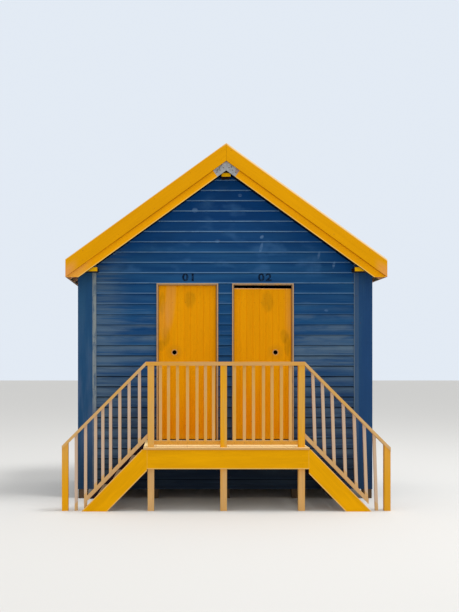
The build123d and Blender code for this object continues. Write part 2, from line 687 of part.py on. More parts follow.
def flight_start(side):
    """Where a flight leaves the landing: the end of the beam, and the end of the landing's handrail."""
    return (BEAM_RIGHT, RAIL_RIGHT) if side > 0 else (BEAM_LEFT, RAIL_LEFT)


def flight_rail(side):
    """Heights of the sloping handrail's underside as a function of x."""
    start = flight_start(side)[1]
    return lambda x: HANDRAIL_TOP - STAIR_RAIL_THICK / COS_STAIR_RAIL - abs(x - start) * TAN_STAIR_RAIL


def newel_edges(side):
    """The x of a foot post's faces towards and away from the landing."""
    past = RIGHT_NEWEL_PAST if side > 0 else LEFT_NEWEL_PAST
    middle = flight_start(side)[1] + side * (FLOOR_TOP / TAN_FLIGHT + past)
    return middle - side * NEWEL_WIDE / 2, middle + side * NEWEL_WIDE / 2


def stair_newels():
    """The foot posts, cut to the slope under the handrails."""
    for side in (-1, 1):
        under = flight_rail(side)
        near, far = newel_edges(side)
        outline = [(near, 0), (far, 0), (far, under(far)), (near, under(near))]
        yield upright(outline, RAIL_MIDDLE - NEWEL_WIDE / 2, RAIL_MIDDLE + NEWEL_WIDE / 2)


def stair_handrails():
    for side in (-1, 1):
        under = flight_rail(side)
        start = flight_start(side)[1]
        far = newel_edges(side)[1]
        rise = STAIR_RAIL_THICK / COS_STAIR_RAIL
        lower = [(start, under(start)), (far, under(far))]
        outline = lower + [(x, z + rise) for x, z in reversed(lower)]
        yield upright(outline, RAIL_MIDDLE - HANDRAIL_WIDE / 2, RAIL_MIDDLE + HANDRAIL_WIDE / 2)


def stair_railing(side):
    """Balusters of one flight and their sloping bottom rail. Those past its end stand on the ground."""
    post = POST_X[0] - POST_WIDE / 2 if side < 0 else POST_X[-1] + POST_WIDE / 2
    rise = LEFT_SUBRAIL_RISE if side < 0 else RIGHT_SUBRAIL_RISE
    half = BALUSTER_WIDE / 2
    low, high = RAIL_MIDDLE - half, RAIL_MIDDLE + half
    thick = SUBRAIL_THICK / COS_FLIGHT
    end = post + side * (FLOOR_TOP + rise - thick - SUBRAIL_TOE) / TAN_FLIGHT
    bay = newel_edges(side)[0] - post

    def top(x):
        return FLOOR_TOP + rise - abs(x - post) * TAN_FLIGHT

    outline = [(post, top(post) - thick), (end, top(end) - thick), (end, top(end)), (post, top(post))]
    panel = upright(outline, low, high)
    under = flight_rail(side)
    lean = math.tan(math.radians(RIGHT_BALUSTER_LEAN)) if side > 0 else 0
    for share in LEFT_FLIGHT_SHARES if side < 0 else RIGHT_FLIGHT_SHARES:
        middle = post + share * bay
        left, right = middle - half, middle + half
        on_rail = abs(middle - post) + half < abs(end - post)
        foot_level = min(top(left), top(right)) - thick / 2 if on_rail else 0
        shift = lean * (under(middle) - foot_level)
        outline = [
            (left + shift, foot_level),
            (right + shift, foot_level),
            (right, under(right)),
            (left, under(left)),
        ]
        panel += upright(outline, low, high)
    return panel


def string_line(side):
    """Height of a stringer's top edge as a function of x."""
    start = flight_start(side)[0]
    rise = RIGHT_LINE_RISE if side > 0 else LEFT_LINE_RISE
    return lambda x: FLOOR_TOP + rise - abs(x - start) * TAN_FLIGHT


def stair_stringers():
    """Front and back boards of each flight, level at the landing and at the ground."""
    for side in (-1, 1):
        line = string_line(side)
        start = flight_start(side)[0]
        deep = STRINGER_DEEP / COS_FLIGHT
        level = start + side * (line(start) - FLOOR_LOW) / TAN_FLIGHT
        toe = start + side * line(start) / TAN_FLIGHT
        heel = start + side * (line(start) - deep) / TAN_FLIGHT
        outline = [(start, FLOOR_LOW), (level, FLOOR_LOW), (toe, 0), (heel, 0), (start, line(start) - deep)]
        for y in (BEAM_FRONT, FRONT - STRINGER_THICK):
            yield upright(outline, y, y + STRINGER_THICK)


def stair_treads():
    """Treads between the stringers, their front edges flush with the stringers' top edges."""
    for side in (-1, 1):
        start = flight_start(side)[0]
        climb = string_line(side)(start)
        for step in range(TREADS_PER_FLIGHT):
            top = FLOOR_TOP - (step + 1) * RISER
            nose = start + side * (climb - top) / TAN_FLIGHT
            span = sorted((nose, nose - side * TREAD_DEEP))
            yield box(*span, BEAM_FRONT + STRINGER_THICK, FRONT - STRINGER_THICK, top - TREAD_THICK, top)


os.makedirs("parts", exist_ok=True)
write("piers", *piers())
write("sill_plates", *sill_plates())
write("wall_studs", *wall_studs())
write("door_lintels", *door_lintels())
write("floor_bearers", *floor_bearers())
write("floor_joists", *floor_joists())
write("floor_boards", box(-ROOM_SIDE, ROOM_SIDE, ROOM_FRONT, ROOM_BACK, FLOOR_LOW, FLOOR_TOP))
front_panels()
write("back_boards", back_sheet())
write("left_wall_boards", side_cladding(-1))
write("right_wall_boards", side_cladding(1))
write("front_corner_boards", *front_corner_boards())
write("corner_battens", *corner_battens())
write("side_corner_boards", *side_corner_boards())
for side, name in ((-1, "left"), (1, "right")):
    write(name + "_door_frame", *door_frame(side))
    write(name + "_door_leaf", door_leaf(side))
    write(name + "_door_ledges", *door_ledges(side))
    write(name + "_door_hinges", *leaf_hinges(side))
    write(name + "_roof_boards", roof_boards(side))
    write(name + "_stair_railing", stair_railing(side))
write("lining_hinges", *lining_hinges(-1), *lining_hinges(1))
write("wall_plates", *wall_plates())
write("ridge_purlin", ridge_purlin())
write("rafters", *rafters())
write("barge_rafters", *barge_rafters())
write("barge_boards", *barge_boards())
write("apex_plate", apex_plate())
write("ridge_cap", *ridge_cap())
write("eave_fascias", *eave_fascias())
write("porch_posts", *porch_posts())
write("deck_boards", *deck_boards())
write("deck_joists", *deck_joists())
write("deck_ledger", deck_ledger())
write("front_beam", front_beam())
write("front_handrail", front_handrail())
write("front_railing_left", front_railing(0, LEFT_BAY_SHARES))
write("front_railing_right", front_railing(1, RIGHT_BAY_SHARES))
write("stair_newels", *stair_newels())
write("stair_handrails", *stair_handrails())
write("stair_stringers", *stair_stringers())
write("stair_treads", *stair_treads())
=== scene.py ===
import math

import bmesh
import bpy
from mathutils import Matrix, Vector


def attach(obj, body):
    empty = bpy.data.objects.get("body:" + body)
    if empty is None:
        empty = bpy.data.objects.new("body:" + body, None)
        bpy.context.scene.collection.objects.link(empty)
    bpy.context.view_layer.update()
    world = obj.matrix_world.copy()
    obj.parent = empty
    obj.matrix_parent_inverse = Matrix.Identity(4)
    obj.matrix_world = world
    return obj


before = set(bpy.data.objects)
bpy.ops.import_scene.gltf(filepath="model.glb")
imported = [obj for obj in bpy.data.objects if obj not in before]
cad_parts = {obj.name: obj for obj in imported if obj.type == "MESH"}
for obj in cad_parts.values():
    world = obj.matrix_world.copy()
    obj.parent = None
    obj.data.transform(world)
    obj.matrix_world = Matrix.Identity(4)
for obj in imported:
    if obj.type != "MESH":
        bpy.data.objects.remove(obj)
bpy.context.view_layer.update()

# Weatherboards: feather-edged boards lapped upwards and nailed to the studs, in faded dark blue paint.
# Each board has taken the weather in its own way, and the paint has gone from the lowest edges. A painted
# highlight also lies along those edges, and painted shade under each lap.
WALL_FOOT = 0.120
COURSE = 0.132
APEX = 4.500
PITCH = math.radians(35.85)
GABLE_FOOT = 2.9
BARGE_SHADOW = 0.317


def tone(red, green, blue):
    """A paint colour given as it looks, from 0 to 255, as the light it reflects."""
    return tuple((part / 255) ** 2.2 for part in (red, green, blue)) + (1.0,)


class Wire:
    """What comes out of a node of a material. Sums and products of wires become Math nodes."""

    def __init__(self, paint, socket):
        self.paint = paint
        self.socket = socket

    def other(self, name):
        """Another output of the same node."""
        return Wire(self.paint, self.socket.node.outputs[name])

    def math(self, operation, *others):
        return self.paint.node("ShaderNodeMath", {"operation": operation}, dict(enumerate((self, *others))))

    def __add__(self, other):
        return self.math("ADD", other)

    def __sub__(self, other):
        return self.math("SUBTRACT", other)

    def __mul__(self, other):
        return self.math("MULTIPLY", other)

    def __truediv__(self, other):
        return self.math("DIVIDE", other)

    def __rsub__(self, other):
        return self.paint.node("ShaderNodeMath", {"operation": "SUBTRACT"}, {0: other, 1: self})

    __radd__ = __add__
    __rmul__ = __mul__

    def rise(self, low, high):
        """0 up to low, 1 from high, and smooth between them. It falls instead where low is the greater."""
        limits = {"Value": self, "From Min": low, "From Max": high}
        return self.paint.node("ShaderNodeMapRange", {"interpolation_type": "SMOOTHSTEP"}, limits)


class Paint:
    """A finish being mixed: its material, and the place of a point in metres."""

    def __init__(self, name, roughness=0.6, metallic=0.0):
        self.material = bpy.data.materials.new(name)
        self.material.use_nodes = True
        self.tree = self.material.node_tree
        self.surface = self.tree.nodes["Principled BSDF"]
        self.surface.inputs["Roughness"].default_value = roughness
        self.surface.inputs["Metallic"].default_value = metallic
        self.surface.inputs["Specular IOR Level"].default_value = 0.04 if metallic == 0 else 0.5
        self.place = self.node("ShaderNodeTexCoord", output="Object")
        self.x = self.node("ShaderNodeSeparateXYZ", values={0: self.place})
        self.y, self.z = self.x.other("Y"), self.x.other("Z")

    def node(self, kind, settings=None, values=None, output=0):
        """A new node of the material, with wires or plain values on its inputs."""
        made = self.tree.nodes.new(kind)
        for name, value in (settings or {}).items():
            setattr(made, name, value)
        for name, value in (values or {}).items():
            if isinstance(value, Wire):
                self.tree.links.new(value.socket, made.inputs[name])
            else:
                made.inputs[name].default_value = value
        return Wire(self, made.outputs[output])

    def lay(self, along, across, through):
        """Turns the place so that the grain of a sloping board runs with it."""
        self.place = self.node("ShaderNodeCombineXYZ", values={0: along, 1: across, 2: through})

    def mottle(self, per_metre, shift=0.0, detail=2.0, roughness=0.5):
        """Cloudy noise from 0 to 1, with that many clouds to the metre along x, y and z."""
        moved = {0: self.place, 1: per_metre, 2: (shift, shift * 1.7, shift * 2.3)}
        spread = self.node("ShaderNodeVectorMath", {"operation": "MULTIPLY_ADD"}, moved)
        values = {"Vector": spread, "Scale": 1.0, "Detail": detail, "Roughness": roughness}
        return self.node("ShaderNodeTexNoise", values=values)

    def chance(self, number, shift=0.0):
        """A random value from 0 to 1 for each whole number."""
        return self.node("ShaderNodeTexWhiteNoise", {"noise_dimensions": "1D"}, {"W": number + shift})

    def smudge(self, x, z, half_wide, half_high, lean=0.0):
        """1 in the middle of a soft patch on an upright face, and 0 outside it."""
        aside = (self.x - x - (self.z - z) * lean) / half_wide
        above = (self.z - z) / half_high
        return (aside * aside + above * above).rise(1.0, 0.2)

    def blend(self, first, second, amount):
        """The first colour where the amount is 0 and the second where it is 1."""
        return self.node("ShaderNodeMix", {"data_type": "RGBA"}, {0: amount, 6: first, 7: second}, output=2)

    def start(self, first, second, amount):
        """The first coat: two colours, with as much of the second as the amount says."""
        self.colour = self.blend(first, second, amount)

    def over(self, colour, amount):
        """One more colour over what is there, as strong as the amount says."""
        self.colour = self.blend(self.colour, colour, amount)

    def shade(self, amount):
        """Multiplies the colour by a grey value."""
        grey = self.node("ShaderNodeCombineXYZ", values={0: amount, 1: amount, 2: amount})
        settings = {"data_type": "RGBA", "blend_type": "MULTIPLY"}
        self.colour = self.node("ShaderNodeMix", settings, {0: 1.0, 6: self.colour, 7: grey}, output=2)

    def coat(self, height=None, depth=0.001, roughness=None):
        """Puts the colour, the roughness and the relief on the surface."""
        self.tree.links.new(self.colour.socket, self.surface.inputs["Base Color"])
        if roughness is not None:
            self.tree.links.new(roughness.socket, self.surface.inputs["Roughness"])
        if height is not None:
            values = {"Height": height, "Strength": 1.0, "Distance": depth}
            relief = self.node("ShaderNodeBump", values=values)
            self.tree.links.new(relief.socket, self.surface.inputs["Normal"])
        return self.material


def give(material, slot, *nodes):
    """Puts a finish on pieces of the frame. The slot of the record that it belongs to is not used."""
    for name in nodes:
        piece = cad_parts[name]
        piece.data.materials.clear()
        piece.data.materials.append(material)


def stretched(axis, along, across):
    """Clouds to the metre: few along the grain's axis and many across it."""
    return tuple(along if letter == axis else across for letter in "xyz")


# Scratches and scrapes on the front: x and z of the middle, half the width and the height, and the lean.
SCRATCHES = (
    (0.472, 3.355, 0.028, 0.029, 0.3),
    (0.462, 3.215, 0.024, 0.078, 0.25),
    (1.204, 3.12, 0.020, 0.060, 0.2),
    (1.397, 3.00, 0.020, 0.060, 0.2),
    (0.190, 3.89, 0.032, 0.024, 0.0),
    (-0.387, 3.70, 0.044, 0.036, 0.0),
    (-0.10, 3.30, 0.040, 0.024, 0.0),
    (1.30, 2.41, 0.032, 0.024, 0.0),
    (-1.42, 3.16, 0.040, 0.036, 0.3),
)


def weatherboards(name, axis):
    """Blue paint on lapped boards that run along the axis. The gable walls' boards run along x."""
    paint = Paint(name, roughness=0.55)
    gable = axis == "x"
    front = paint.y.rise(0.1, 0.0)
    aside = paint.x.math("ABSOLUTE")
    below = APEX - paint.z - aside * math.tan(PITCH)
    course = (paint.z - WALL_FOOT) / COURSE
    number = course.math("FLOOR")
    up = course - number
    board = paint.chance(number, 0.37 if gable else 5.37)
    clouds = paint.mottle(stretched(axis, 0.9, 9.0), detail=3.0)
    streaks = paint.mottle(stretched(axis, 1.3, 30.0), 5.0, detail=4.0, roughness=0.6)
    grain = paint.mottle(stretched(axis, 3.0, 190.0), 3.0, detail=2.0)
    chalk = paint.mottle(stretched(axis, 5.0, 26.0), 7.0, detail=5.0, roughness=0.65)
    dust = paint.mottle(stretched(axis, 2.2, 9.0), 9.0, detail=4.0)

    # Blue, stronger in the gable and brighter close under the barges as painted light against the
    # overhang's shade, and greyer towards the ground.
    paint.start(tone(20, 60, 106), tone(42, 88, 132), board * 0.35 + clouds.rise(0.3, 0.75) * 0.55)
    paint.over(tone(16, 58, 112), paint.z.rise(GABLE_FOOT, 3.7) * 0.65)
    if gable:
        painted_light_under_barges = below.rise(0.62, 0.30) * paint.z.rise(2.7, GABLE_FOOT)
        paint.over(tone(22, 80, 148), painted_light_under_barges * 0.6)
    paint.over(tone(66, 84, 104), paint.z.rise(2.35, 0.9) * clouds.rise(0.25, 0.7) * 0.6)
    paint.over(tone(50, 58, 72), paint.z.rise(1.75, 0.95) * (0.45 + 0.4 * clouds))

    # Chalky streaks, most of them left of the doors and level with the finger holes on their right.
    if gable:
        right = paint.x.rise(0.75, 1.0) * paint.z.rise(1.5, 1.8) * paint.z.rise(2.16, 1.9)
        beside = paint.x.rise(-1.15, -1.6) + right
        paint.over(tone(86, 108, 128), beside * streaks.rise(0.3, 0.6) * 0.65)
    paint.over(tone(86, 114, 142), streaks.rise(0.58, 0.76) * paint.z.rise(GABLE_FOOT, 2.5) * 0.5)
    dusty = up.rise(0.1, 0.8) * dust.rise(0.32, 0.62) * paint.z.rise(2.7, 2.1)
    if gable:
        dusty = dusty * aside.rise(0.0, 0.9)
    paint.over(tone(98, 120, 138), dusty * (0.4 + 0.2 * paint.z.rise(1.3, 1.8)))
    paint.over(tone(58, 56, 58), paint.z.rise(1.5, 0.6) * chalk.rise(0.5, 0.8) * 0.5)
    # Painted shade darkens the foot of the front wall, behind the landing.
    if gable:
        paint.over(tone(24, 26, 32), paint.z.rise(0.62, 0.42) * front * 0.6)

    # A pale line along each lower edge, worn paint and a painted highlight that grows stronger up the wall,
    # and dirt with painted shade under the lap above it.
    worn = up.rise(0.12, 0.05) * (0.12 + 0.88 * paint.z.rise(2.25, 2.8))
    worn = worn * (0.55 + 0.45 * chalk.rise(0.3, 0.5))
    paint.over(tone(110, 148, 186), worn * (0.6 + 0.25 * paint.z.rise(3.2, 3.5)))
    grime_and_lap_shade = (up + paint.z.rise(2.2, 1.7) * 0.05).rise(0.86, 0.99)
    paint.over(tone(12, 22, 34), grime_and_lap_shade * (0.3 + 0.7 * paint.z.rise(2.3, 1.6)) * 0.8)

    # Scratches and pale blotches on the gable, and a painted shadow strip behind the barge rafters.
    if gable:
        for x, z, half_wide, half_high, lean in SCRATCHES:
            mark = paint.smudge(x, z, half_wide, half_high, lean) * chalk.rise(0.3, 0.7)
            paint.over(tone(116, 152, 192), mark * front * 0.6)
        blotches = paint.mottle((3.0, 3.0, 5.0), 15.0, detail=3.0).rise(0.5, 0.72)
        blotches = blotches * below.rise(0.35, 0.6) * paint.z.rise(2.8, 2.95)
        paint.over(tone(62, 104, 150), blotches * 0.5)
        strip = (below - 0.010 * paint.x.rise(0.1, -0.1)).rise(BARGE_SHADOW, BARGE_SHADOW - 0.008)
        paint.over(tone(8, 10, 18), strip * 0.9)
    paint.shade(0.82 + 0.36 * grain)
    return paint.coat(grain + chalk * 0.6, 0.0012, 0.5 + 0.3 * chalk)


gable_boards_paint = weatherboards("blue_weatherboards", "x")
side_boards_paint = weatherboards("blue_side_weatherboards", "y")
give(gable_boards_paint, "blue_boards", "front_boards_below_doors", "front_boards_left",
     "front_boards_between_doors", "front_boards_right", "front_boards_gable", "back_boards")
give(side_boards_paint, "blue_boards", "left_wall_boards", "right_wall_boards")

# Corner boards and battens: upright boards nailed over the ends of the weatherboards, in the same blue.
# The left corner is the more faded, and the battens are bleached and bare in places.
BATTEN_INSIDE = 1.654
WORN_MIDDLE = 1.680


def upright_blue(name, light, bare):
    """Blue paint on upright boards, with a lighter colour where it is worn, as bare as the number says."""
    paint = Paint(name, roughness=0.55)
    aside = paint.x.math("ABSOLUTE")
    clouds = paint.mottle((9.0, 9.0, 1.1), 11.0, detail=3.0)
    grain = paint.mottle((150.0, 150.0, 3.0), 12.0)
    chips = paint.mottle((34.0, 34.0, 6.0), 13.0, detail=5.0, roughness=0.7)
    left = paint.x.rise(0.4, -0.4)
    paint.start(tone(28, 66, 112), tone(46, 84, 118), left * 0.6 + clouds.rise(0.35, 0.7) * 0.4)
    seam = aside.rise(BATTEN_INSIDE + 0.012, BATTEN_INSIDE + 0.002)
    paint.over(tone(120, 134, 140), seam * bare * (0.4 + 0.6 * chips.rise(0.3, 0.5)))
    middle = (aside - WORN_MIDDLE).math("ABSOLUTE").rise(0.030, 0.016)
    paint.over(light, middle * left * bare * (0.35 + 0.65 * chips.rise(0.36, 0.54)))
    paint.over(tone(86, 104, 122), (1 - left) * bare * 0.5)
    paint.over(tone(122, 136, 146), chips.rise(0.66, 0.8) * (0.15 + bare * 0.3 * left))
    paint.over(tone(74, 94, 128), left * clouds.rise(0.42, 0.62) * paint.z.rise(2.7, 1.2) * 0.6)
    # Painted shade darkens the lower metre of the boards.
    paint.over(tone(34, 40, 50), paint.z.rise(1.0, 0.2) * 0.5)
    paint.shade(0.84 + 0.32 * grain)
    return paint.coat(grain + chips * 0.5, 0.0012)


corner_paint = upright_blue("blue_corner_boards", tone(70, 96, 132), 0.2)
batten_paint = upright_blue("worn_corner_battens", tone(146, 154, 152), 0.8)
give(corner_paint, "blue_trim", "front_corner_boards", "side_corner_boards")
give(batten_paint, "blue_trim", "corner_battens")

# Roof frame's painted ends and barges: deep barge rafters nailed over the purlin and the wall plates,
# with an outer board on each, mitred at the apex. Orange-yellow paint, pale where the edges catch wear.
# Painted highlights run along some edges. Painted shade lies under the boards, on the faces turned to the
# wall, and in near black over all but the ends of the purlin and the plates.
BARGE_DROP = 0.2221
RAFTER_DROP = 0.3405
FRAME_MIDDLE = 0.3715
RAFTER_INSIDE = 1.146
CARRIER_HALF = 1.115


def painted_yellow(name, fresh, faded, part):
    """Yellow paint on the roof frame, its grain down the slope, or front to back in what carries it."""
    paint = Paint(name, roughness=0.5)
    sideways = paint.x.math("ABSOLUTE")
    below = (APEX - paint.z) - sideways * math.tan(PITCH)
    out = (paint.y - FRAME_MIDDLE).math("ABSOLUTE")
    if part != "carrier":
        along = sideways * math.cos(PITCH) - paint.z * math.sin(PITCH)
        paint.lay(along, paint.y, below * math.cos(PITCH) + paint.x.rise(-0.001, 0.001) * 3.0)
    grain_axis = "y" if part == "carrier" else "x"
    clouds = paint.mottle(stretched(grain_axis, 1.0, 10.0), 21.0, detail=3.0)
    grain = paint.mottle(stretched(grain_axis, 3.0, 170.0), 22.0)
    chips = paint.mottle(stretched(grain_axis, 8.0, 48.0), 23.0, detail=5.0, roughness=0.7)
    paint.start(fresh, faded, clouds.rise(0.35, 0.75) * 0.7)
    paint.over(tone(206, 170, 126), chips.rise(0.79, 0.87) * 0.8)
    if part == "barge":
        # A painted highlight of sunlight along the top edges, stronger on the right slope, broken up by the
        # chips.
        right = paint.x.rise(-0.1, 0.1)
        pale = below.rise(0.026, 0.014) * right + below.rise(0.012, 0.004) * (1 - right)
        paint.over(tone(252, 222, 172), pale * (0.45 + 0.45 * right) * chips.rise(0.1, 0.4))
        paint.over(tone(226, 150, 96), sideways.rise(1.84, 2.0) * below.rise(0.04, 0.17) * 0.55)
        # Painted shade on the outer board's underside.
        paint.over(tone(176, 112, 10), below.rise(BARGE_DROP - 0.001, BARGE_DROP - 0.0003) * 0.7)
    if part == "rafter":
        left = paint.x.rise(0.1, -0.1)
        paint.over(tone(232, 166, 96), sideways.rise(1.66, 1.86) * left * 0.4)
        # Painted shade on the rafter just under the outer board's edge, weaker at the lower end on the
        # left.
        shade_below_barge_board = below.rise(BARGE_DROP + 0.010, BARGE_DROP + 0.004)
        paint.over(tone(150, 96, 6), shade_below_barge_board * (1 - sideways.rise(1.2, 1.8) * left) * 0.5)
        # A pale line along the rafter's lower edge, worn paint and a painted highlight, broken up by the
        # chips.
        pale = below.rise(RAFTER_DROP - 0.016, RAFTER_DROP - 0.008)
        paint.over(tone(240, 206, 120), pale * chips.rise(0.15, 0.4) * 0.7)
        # Painted shade on the rafter's underside and on its faces turned to the wall.
        paint.over(tone(40, 20, 14), below.rise(RAFTER_DROP - 0.0015, RAFTER_DROP - 0.0005) * 0.9)
        inside = out.rise(RAFTER_INSIDE + 0.002, RAFTER_INSIDE)
        paint.over(tone(60, 34, 22), inside * 0.8)
    if part == "carrier":
        # Painted shade of near black on all but the end faces of the purlin and the plates.
        inside = out.rise(CARRIER_HALF - 0.0005, CARRIER_HALF - 0.0015)
        paint.over(tone(34, 24, 30), inside * 0.98)
    paint.shade(0.88 + 0.24 * grain)
    return paint.coat(grain + chips * 0.5, 0.001)


barge_paint = painted_yellow("yellow_barge_boards", tone(223, 154, 0), tone(214, 146, 2), "barge")
rafter_paint = painted_yellow("yellow_barge_rafters", tone(242, 164, 0), tone(232, 156, 2), "rafter")
carrier_paint = painted_yellow("yellow_frame_ends", tone(236, 176, 8), tone(222, 160, 12), "carrier")
give(barge_paint, "yellow_trim", "barge_boards")
give(rafter_paint, "yellow_trim", "barge_rafters")
give(carrier_paint, "yellow_trim", "wall_plates", "ridge_purlin")

# Metal strap: a galvanised strip bent over the joint of the front barge rafters, dull and streaked with
# rust. It is nailed on through both arms. The door hinges are of the same steel.
DARK_STREAKS = (
    (-0.085, 4.190, 0.010, 0.030),
    (-0.112, 4.160, 0.012, 0.026),
    (0.066, 4.205, 0.012, 0.022),
    (-0.060, 4.230, 0.008, 0.020),
)


def dull_zinc(name, rust):
    """Dull galvanised steel with more or fewer spots of rust, and the strap's dark streaks."""
    paint = Paint(name, roughness=0.6, metallic=0.35)
    clouds = paint.mottle((30.0, 30.0, 22.0), 31.0, detail=4.0)
    spots = paint.mottle((90.0, 90.0, 70.0), 32.0, detail=4.0, roughness=0.7)
    paint.start(tone(186, 186, 186), tone(134, 138, 140), clouds)
    paint.over(tone(124, 84, 60), spots.rise(0.66 - rust * 0.2, 0.8 - rust * 0.2))
    for x, z, half_wide, half_high in DARK_STREAKS:
        paint.over(tone(58, 54, 60), paint.smudge(x, z, half_wide, half_high, 0.3) * 0.6)
    paint.over(tone(152, 112, 96), paint.smudge(0.135, 4.150, 0.03, 0.04) * 0.6)
    return paint.coat(spots, 0.0006, 0.5 + 0.3 * clouds)


zinc_paint = dull_zinc("dull_zinc", 0.3)
give(zinc_paint, "zinc_metal", "apex_plate", "lining_hinges", "left_door_hinges", "right_door_hinges")

# Doors: ledged leaves of upright tongued boards, painted orange-yellow, with pale worn linings round them.
# The paint is pinkish and thin towards the weather side, and rubbed off round the finger holes.
LEAF_MIDDLE = 0.485
LEAF_HALF = 0.375
LEAF_FOOT = 0.759
LEAF_FACE = -0.5075
LEAF_BOARDS = 9
HOLE_X = 0.650
HOLE_Z = 1.874
HOLE_RADIUS = 0.028
REVEAL_FRONT = -0.5455
LEFT_STAINS = (
    (-0.45, 2.55, 0.07, 0.12),
    (-0.81, 2.50, 0.04, 0.16),
    (-0.76, 2.08, 0.05, 0.14),
    (-0.82, 1.96, 0.05, 0.08),
)
RIGHT_STAINS = (
    (0.55, 2.52, 0.08, 0.14),
    (0.76, 2.08, 0.05, 0.10),
    (0.80, 1.98, 0.04, 0.16),
)


def door_paint(side):
    """Orange-yellow paint on one leaf, with its own stains, thin places and rubbed finger hole."""
    paint = Paint("orange_left_door" if side < 0 else "orange_right_door", roughness=0.5)
    across = (paint.x - (side * LEAF_MIDDLE - LEAF_HALF)) / (2 * LEAF_HALF)
    number = (across * LEAF_BOARDS).math("FLOOR")
    board = paint.chance(number, 0.61 + side)
    clouds = paint.mottle((8.0, 8.0, 0.9), 41.0 + side, detail=3.0)
    grain = paint.mottle((150.0, 150.0, 2.5), 42.0)
    chips = paint.mottle((40.0, 40.0, 5.0), 43.0 + side, detail=5.0, roughness=0.7)
    blotches = paint.mottle((26.0, 26.0, 13.0), 44.0, detail=4.0)
    paint.start(tone(240, 160, 0), tone(222, 144, 0), board * 0.5 + clouds * 0.5)
    paint.over(tone(232, 136, 0), paint.z.rise(1.95, 0.95) * clouds.rise(0.3, 0.6) * 0.7)
    for x, z, half_wide, half_high in LEFT_STAINS if side < 0 else RIGHT_STAINS:
        stain = paint.smudge(x, z, half_wide * 1.3, half_high * 1.2) + blotches
        paint.over(tone(160, 114, 16), stain.rise(0.5, 1.9) * 0.4)
    if side < 0:
        thin = paint.smudge(-0.70, 2.56, 0.08, 0.46, 0.06) + paint.smudge(-0.79, 2.28, 0.08, 0.30) * 0.5
        thin = thin * (0.4 + clouds * 0.8)
    else:
        thin = across.rise(0.85, 1.0) * paint.z.rise(2.0, 2.3) * clouds.rise(0.36, 0.58)
    paint.over(tone(222, 150, 66), thin * 0.75)
    off_x = paint.x - side * HOLE_X
    off_z = paint.z - HOLE_Z
    reach = (off_x * off_x + off_z * off_z).math("SQRT")
    ring = reach.rise(HOLE_RADIUS + 0.016, HOLE_RADIUS + 0.004)
    paint.over(tone(196, 160, 120), ring * (0.5 + 0.5 * chips))
    # Painted shade inside the finger hole.
    paint.over(tone(30, 18, 8), reach.rise(HOLE_RADIUS + 0.0006, HOLE_RADIUS - 0.0006) * 0.85)
    paint.over(tone(170, 112, 30), reach.rise(0.13, 0.05) * 0.25)
    # Painted shade down both side edges of the leaf, in the gaps to the linings.
    paint.over(tone(120, 70, 16), across.rise(0.02, 0.0) * 0.6 + across.rise(0.975, 1.0) * 0.7)
    # Painted light on the leaf's lowest part, against the shade at the threshold.
    paint.over(tone(242, 166, 30), paint.z.rise(0.86, 0.77) * 0.6)
    if side > 0:
        paint.over(tone(232, 190, 150), paint.z.rise(2.687, 2.692) * 0.7)
    paint.shade(0.9 + 0.2 * grain)
    return paint.coat(grain + chips * 0.4, 0.001)


def lining_paint():
    """Thin pale paint on the linings and stops round the leaves, with painted shade inside the reveals."""
    paint = Paint("pale_door_linings", roughness=0.6)
    clouds = paint.mottle((9.0, 9.0, 2.2), 51.0, detail=3.0)
    grain = paint.mottle((140.0, 140.0, 3.0), 52.0)
    chips = paint.mottle((40.0, 40.0, 7.0), 53.0, detail=5.0, roughness=0.7)
    paint.start(tone(206, 160, 100), tone(184, 154, 122), clouds.rise(0.3, 0.7))
    paint.over(tone(160, 142, 128), chips.rise(0.5, 0.66) * 0.6)
    # Painted shade on the parts inside the reveals.
    paint.over(tone(96, 64, 30), paint.y.rise(REVEAL_FRONT, REVEAL_FRONT + 0.001) * 0.45)
    paint.shade(0.84 + 0.3 * grain)
    return paint.coat(grain + chips * 0.5, 0.001)


give(lining_paint(), "yellow_trim", "left_door_frame", "right_door_frame")
for side, word in ((-1, "left"), (1, "right")):
    leaf_paint = door_paint(side)
    give(leaf_paint, "orange_doors", word + "_door_leaf", word + "_door_ledges")

# Landing and stair rails: planed posts, balusters and handrails in yellow paint that has gone chalky.
# The balusters are the most bleached, to a pinkish tan, and the rails under them keep more yellow.
BOTTOM_RAIL_TOP = 0.820
FLIGHT_SLOPE = math.radians(45.7)
FLIGHT_STEEP = 1.0248
LEFT_FLIGHT_LINE = 1.7852
RIGHT_FLIGHT_LINE = 1.7031
EAVE_FACE = 2.020
EAVE_FOOT = 2.818


def lay_down_flights(paint):
    """Turns the grain so that it runs down both flights, and gives the height square to their slope."""
    sideways = paint.x.math("ABSOLUTE")
    along = sideways * math.cos(FLIGHT_SLOPE) - paint.z * math.sin(FLIGHT_SLOPE)
    height = sideways * math.sin(FLIGHT_SLOPE) + paint.z * math.cos(FLIGHT_SLOPE)
    paint.lay(along, paint.y, height)
    return height


